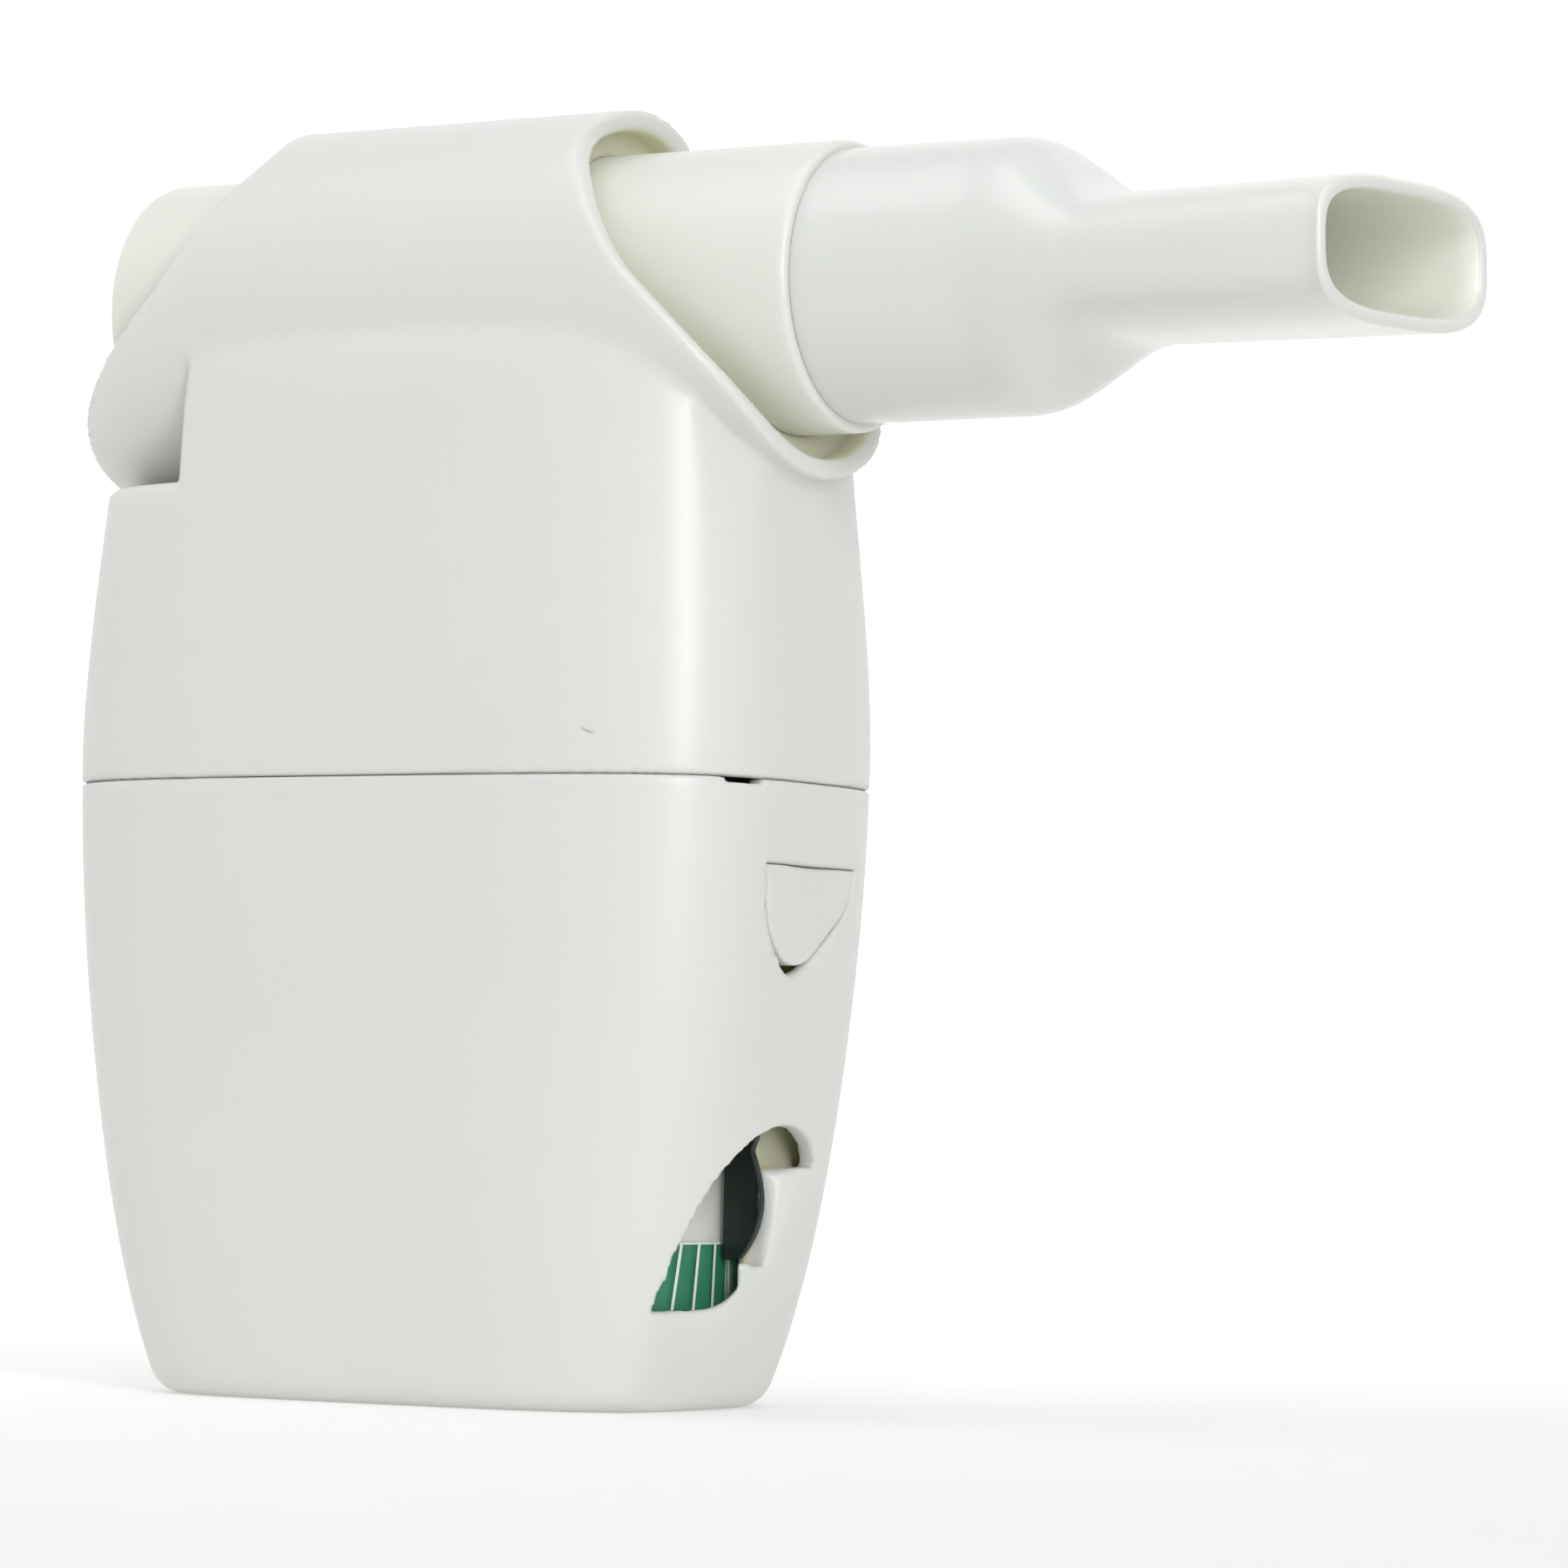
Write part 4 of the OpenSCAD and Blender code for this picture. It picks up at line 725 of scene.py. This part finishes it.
# Each row is one sum: its name, its operation and what it takes. The printed lines lean, and turn_top is the
# turn at which the line through a point meets the label's top
sums = {"x": spot["X"], "y": spot["Y"], "z": spot["Z"]}
for name, operation, *terms in (
        ("turn", "ARCTAN2", "y", "x"),
        ("turn_deg", "DEGREES", "turn"),
        ("drop", "SUBTRACT", scale_high * MM, "z"),
        ("below_top", "DIVIDE", "drop", (scale_high - scale_low) * MM),
        ("lean", "MULTIPLY", "below_top", lean_at_front),
        ("upright", "ADD", "turn_deg", "lean"),
        ("spread", "MULTIPLY_ADD", "below_top", lean_share, 1.0),
        ("turn_top", "DIVIDE", "upright", "spread"),
        ("from_first", "SUBTRACT", "turn_top", scale_first),
        ("fields", "DIVIDE", "from_first", scale_pitch),
        ("field_number", "FLOOR", "fields"),
        ("half_number", "MULTIPLY", "field_number", 0.5),
        ("odd_share", "FRACT", "half_number"),
        ("is_light", "GREATER_THAN", "turn_top", light_from),
        ("before_end", "LESS_THAN", "turn_top", light_from + light_line),
        ("side_line", "MULTIPLY", "is_light", "before_end"),
        ("is_high", "GREATER_THAN", "z", (scale_high - light_rim) * MM),
        ("top_line", "MULTIPLY", "is_light", "is_high"),
        ("is_rim", "GREATER_THAN", "z", (scale_high - rim_line) * MM),
        ("light_lines", "MAXIMUM", "side_line", "top_line"),
        ("is_line", "MAXIMUM", "light_lines", "is_rim")):
    inputs = {i: sums.get(term, term) for i, term in enumerate(terms)}
    sums[name] = add_node(tree, "ShaderNodeMath", {"operation": operation}, inputs).outputs["Value"]
printed = to_linear("#368669")
# The far field's light tint is the print's own, painted lighter to stand against the shade that falls on it
# beside the lever
for share, tone_hex in (("odd_share", "#2a7560"), ("is_light", "#8cc8b0"), ("is_line", "#e8f2ec")):
    layer = add_node(tree, "ShaderNodeMix", {"data_type": "RGBA"},
                     {"Factor": sums[share], mix_a: printed, mix_b: to_linear(tone_hex)})
    printed = layer.outputs[mix_result]
tree.links.new(printed, shader.inputs["Base Color"])

# The white dividing lines are a second ink on top of the green: thin bars bent round the label, which lean
divider_white = moulded("ink_white_screen_printed", "#e6f0ea", "#dfeae3", 0.4, grain_depth=0.004,
                        subsurface=0.0)
dividers = bpy.data.node_groups.new("scale_dividers", "GeometryNodeTree")
sizes = {"Count": scale_lines, "First turn": scale_first, "Pitch": scale_pitch, "Line width": line_w,
         "Label radius": label_r + ink_t, "Low": scale_low, "High": scale_high, "Lean": lean_at_front,
         "Lean share": lean_share}
sockets = {}
for size_name, value in sizes.items():
    kind = "NodeSocketInt" if isinstance(value, int) else "NodeSocketFloat"
    sockets[size_name] = dividers.interface.new_socket(size_name, in_out="INPUT", socket_type=kind)
dividers.interface.new_socket("Geometry", in_out="OUTPUT", socket_type="NodeSocketGeometry")
given = add_node(dividers, "NodeGroupInput").outputs
row = add_node(dividers, "GeometryNodeMeshLine", inputs={"Offset": (1, 0, 0), "Count": given["Count"]})
bar = add_node(dividers, "GeometryNodeMeshGrid",
               inputs={"Size X": 0.5, "Size Y": 1.0, "Vertices X": 2, "Vertices Y": 12})
bars = add_node(dividers, "GeometryNodeInstanceOnPoints",
                inputs={"Points": row.outputs["Mesh"], "Instance": bar.outputs["Mesh"]})
bars = add_node(dividers, "GeometryNodeRealizeInstances", inputs={"Geometry": bars.outputs["Instances"]})
place = add_node(dividers, "GeometryNodeInputPosition").outputs["Position"]
spot = add_node(dividers, "ShaderNodeSeparateXYZ", inputs={"Vector": place}).outputs
# The bars stand in a row at whole numbers of x. Each goes to its own turn, and up from Low to High
sums = {"x": spot["X"], "y": spot["Y"]}
sums.update((size_name, given[size_name]) for size_name in sizes)
for name, operation, *terms in (
        ("number", "ROUND", "x"),
        ("beside", "SUBTRACT", "x", "number"),
        ("across", "MULTIPLY", "beside", 2.0),
        ("rise", "ADD", "y", 0.5),
        ("fall", "SUBTRACT", 1.0, "rise"),
        ("top_turn", "MULTIPLY_ADD", "number", "Pitch", "First turn"),
        ("less_lean", "MULTIPLY", "top_turn", "Lean share"),
        ("lean_here", "SUBTRACT", "Lean", "less_lean"),
        ("leaning", "MULTIPLY", "fall", "lean_here"),
        ("middle_deg", "SUBTRACT", "top_turn", "leaning"),
        ("middle", "RADIANS", "middle_deg"),
        ("width_turn", "DIVIDE", "Line width", "Label radius"),
        ("aside", "MULTIPLY", "across", "width_turn"),
        ("bar_turn", "ADD", "middle", "aside"),
        ("cosine", "COSINE", "bar_turn"),
        ("sine", "SINE", "bar_turn"),
        ("x_mm", "MULTIPLY", "cosine", "Label radius"),
        ("y_mm", "MULTIPLY", "sine", "Label radius"),
        ("line_h", "SUBTRACT", "High", "Low"),
        ("z_mm", "MULTIPLY_ADD", "rise", "line_h", "Low"),
        ("X", "MULTIPLY", "x_mm", MM),
        ("Y", "MULTIPLY", "y_mm", MM),
        ("Z", "MULTIPLY", "z_mm", MM)):
    inputs = {i: sums.get(term, term) for i, term in enumerate(terms)}
    sums[name] = add_node(dividers, "ShaderNodeMath", {"operation": operation}, inputs).outputs["Value"]
bent_place = add_node(dividers, "ShaderNodeCombineXYZ", inputs={axis: sums[axis] for axis in "XYZ"})
bent = add_node(dividers, "GeometryNodeSetPosition",
                inputs={"Geometry": bars.outputs["Geometry"], "Position": bent_place.outputs["Vector"]})
inked = add_node(dividers, "GeometryNodeSetMaterial",
                 inputs={"Geometry": bent.outputs["Geometry"], "Material": divider_white})
add_node(dividers, "NodeGroupOutput", inputs={"Geometry": inked.outputs["Geometry"]})
scale_dividers = link_object("scale_dividers", bpy.data.meshes.new("scale_dividers"))
modifier = scale_dividers.modifiers.new("dividers", "NODES")
modifier.node_group = dividers
for size_name, value in sizes.items():
    modifier[sockets[size_name].identifier] = value
bpy.context.view_layer.update()
drawn = bpy.data.meshes.new_from_object(scale_dividers.evaluated_get(bpy.context.evaluated_depsgraph_get()))
scale_dividers.modifiers.remove(modifier)
scale_dividers.data = drawn
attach(scale_dividers, "lower")


def finish_node(name, finish):
    """Gives a construction node its finish."""
    nodes[name].data.materials.clear()
    nodes[name].data.materials.append(finish)


finish_node("scale_label", scale_green)

# Cradle
# The white frame that stands on the floor of the lower casing: its foot and ribs carry the chamber's boss,
# and its drum backs the scale. It is moulded in ABS and seen through the lever's window.
finish_node("cradle", moulded("abs_white_drum_moulded", "#e4e6e2", "#dfe1dc", 0.45))

# Chambers, plate and valve seat
# The two oval chambers that the breath passes through, and the plate between them, moulded in pale grey-green
# ABS and welded at their edges. They show when the upper casing is lifted off. The rear valve's spoked seat
# is moulded in white ABS and pressed into the duct's port.
chamber_plastic = moulded("abs_grey_green_moulded", "#cfd6d2", "#c7cfca", 0.42)
plate_plastic = moulded("abs_grey_green_plate_moulded", "#c9cfcb", "#c1c8c3", 0.4)
for name in ("chamber_lower", "chamber_upper"):
    finish_node(name, chamber_plastic)
for name in ("nozzle_plate", "nozzle_clamp"):
    finish_node(name, plate_plastic)
finish_node("valve_seat", moulded("abs_white_valve_moulded", "#dfe0da", "#d9dad3", 0.4))

# Rubber pieces
# The slit nozzle, the rear valve's flap and the seal under the duct are cast in translucent silicone rubber,
# which looks milky and slightly dull, with a fine bloom of dust-catching grain.
silicone_tones = (("nozzle", "#b9c7bf"), ("valve_flap", "#d8dcd6"), ("duct_seal", "#a9b5ae"))
for name, tone_hex in silicone_tones:
    rubber = moulded("silicone_milky_cast_" + name, tone_hex, tone_hex, 0.55, grain_mm=0.5, grain_depth=0.02,
                     subsurface=0.3)
    finish_node(name, rubber)

# Bushes, shaft and clip
# Two turned brass bushes carry a ground steel shaft, and a stamped spring-steel clip holds the lever's ring.
# Turning leaves fine rings round the bushes; grinding leaves faint bands along the shaft.


def worked_metal(name, tone_hex, roughness, band_mm, axis_ring):
    """A machined metal whose tool marks are rings round the shaft's axis, or bands along it."""
    made, tree, shader = new_material(name, Metallic=1.0, Roughness=roughness, Base_Color=to_linear(tone_hex))
    place = add_node(tree, "ShaderNodeTexCoord").outputs["Object"]
    spot = add_node(tree, "ShaderNodeSeparateXYZ", inputs={"Vector": place}).outputs
    level = add_node(tree, "ShaderNodeCombineXYZ", inputs={"X": spot["X"], "Y": spot["Y"]}).outputs["Vector"]
    off_axis = add_node(tree, "ShaderNodeVectorMath", {"operation": "LENGTH"}, {0: level}).outputs["Value"]
    spread = add_node(tree, "ShaderNodeMath", {"operation": "MULTIPLY"},
                      {0: off_axis if axis_ring else spot["Z"], 1: 1 / (band_mm * MM)})
    marks = add_node(tree, "ShaderNodeTexNoise", {"noise_dimensions": "1D"},
                     {"Scale": 1.0, "Detail": 3.0, "W": spread.outputs["Value"]}).outputs["Fac"]
    sheen = add_node(tree, "ShaderNodeMapRange",
                     inputs={"To Min": roughness - 0.08, "To Max": roughness + 0.1, "Value": marks})
    tree.links.new(sheen.outputs["Result"], shader.inputs["Roughness"])
    relief = add_node(tree, "ShaderNodeBump",
                      inputs={"Strength": 0.3, "Distance": 0.01 * MM, "Height": marks})
    tree.links.new(relief.outputs["Normal"], shader.inputs["Normal"])
    return made


brass = worked_metal("brass_turned", "#c9a25c", 0.3, 0.12, True)
finish_node("bush_lower", brass)
finish_node("bush_upper", brass)
finish_node("shaft", worked_metal("steel_ground", "#c3c6c8", 0.22, 0.08, False))
finish_node("lever_clip", worked_metal("spring_steel_stamped", "#a9adb0", 0.35, 0.4, True))

# Restrictor and vane
# The butterfly and the vane that swing with the shaft, moulded in grey-green acetal, which has a waxy sheen.
acetal = moulded("acetal_grey_green_moulded", "#7f8f8a", "#778782", 0.3)
finish_node("restrictor", acetal)
finish_node("vane", acetal)
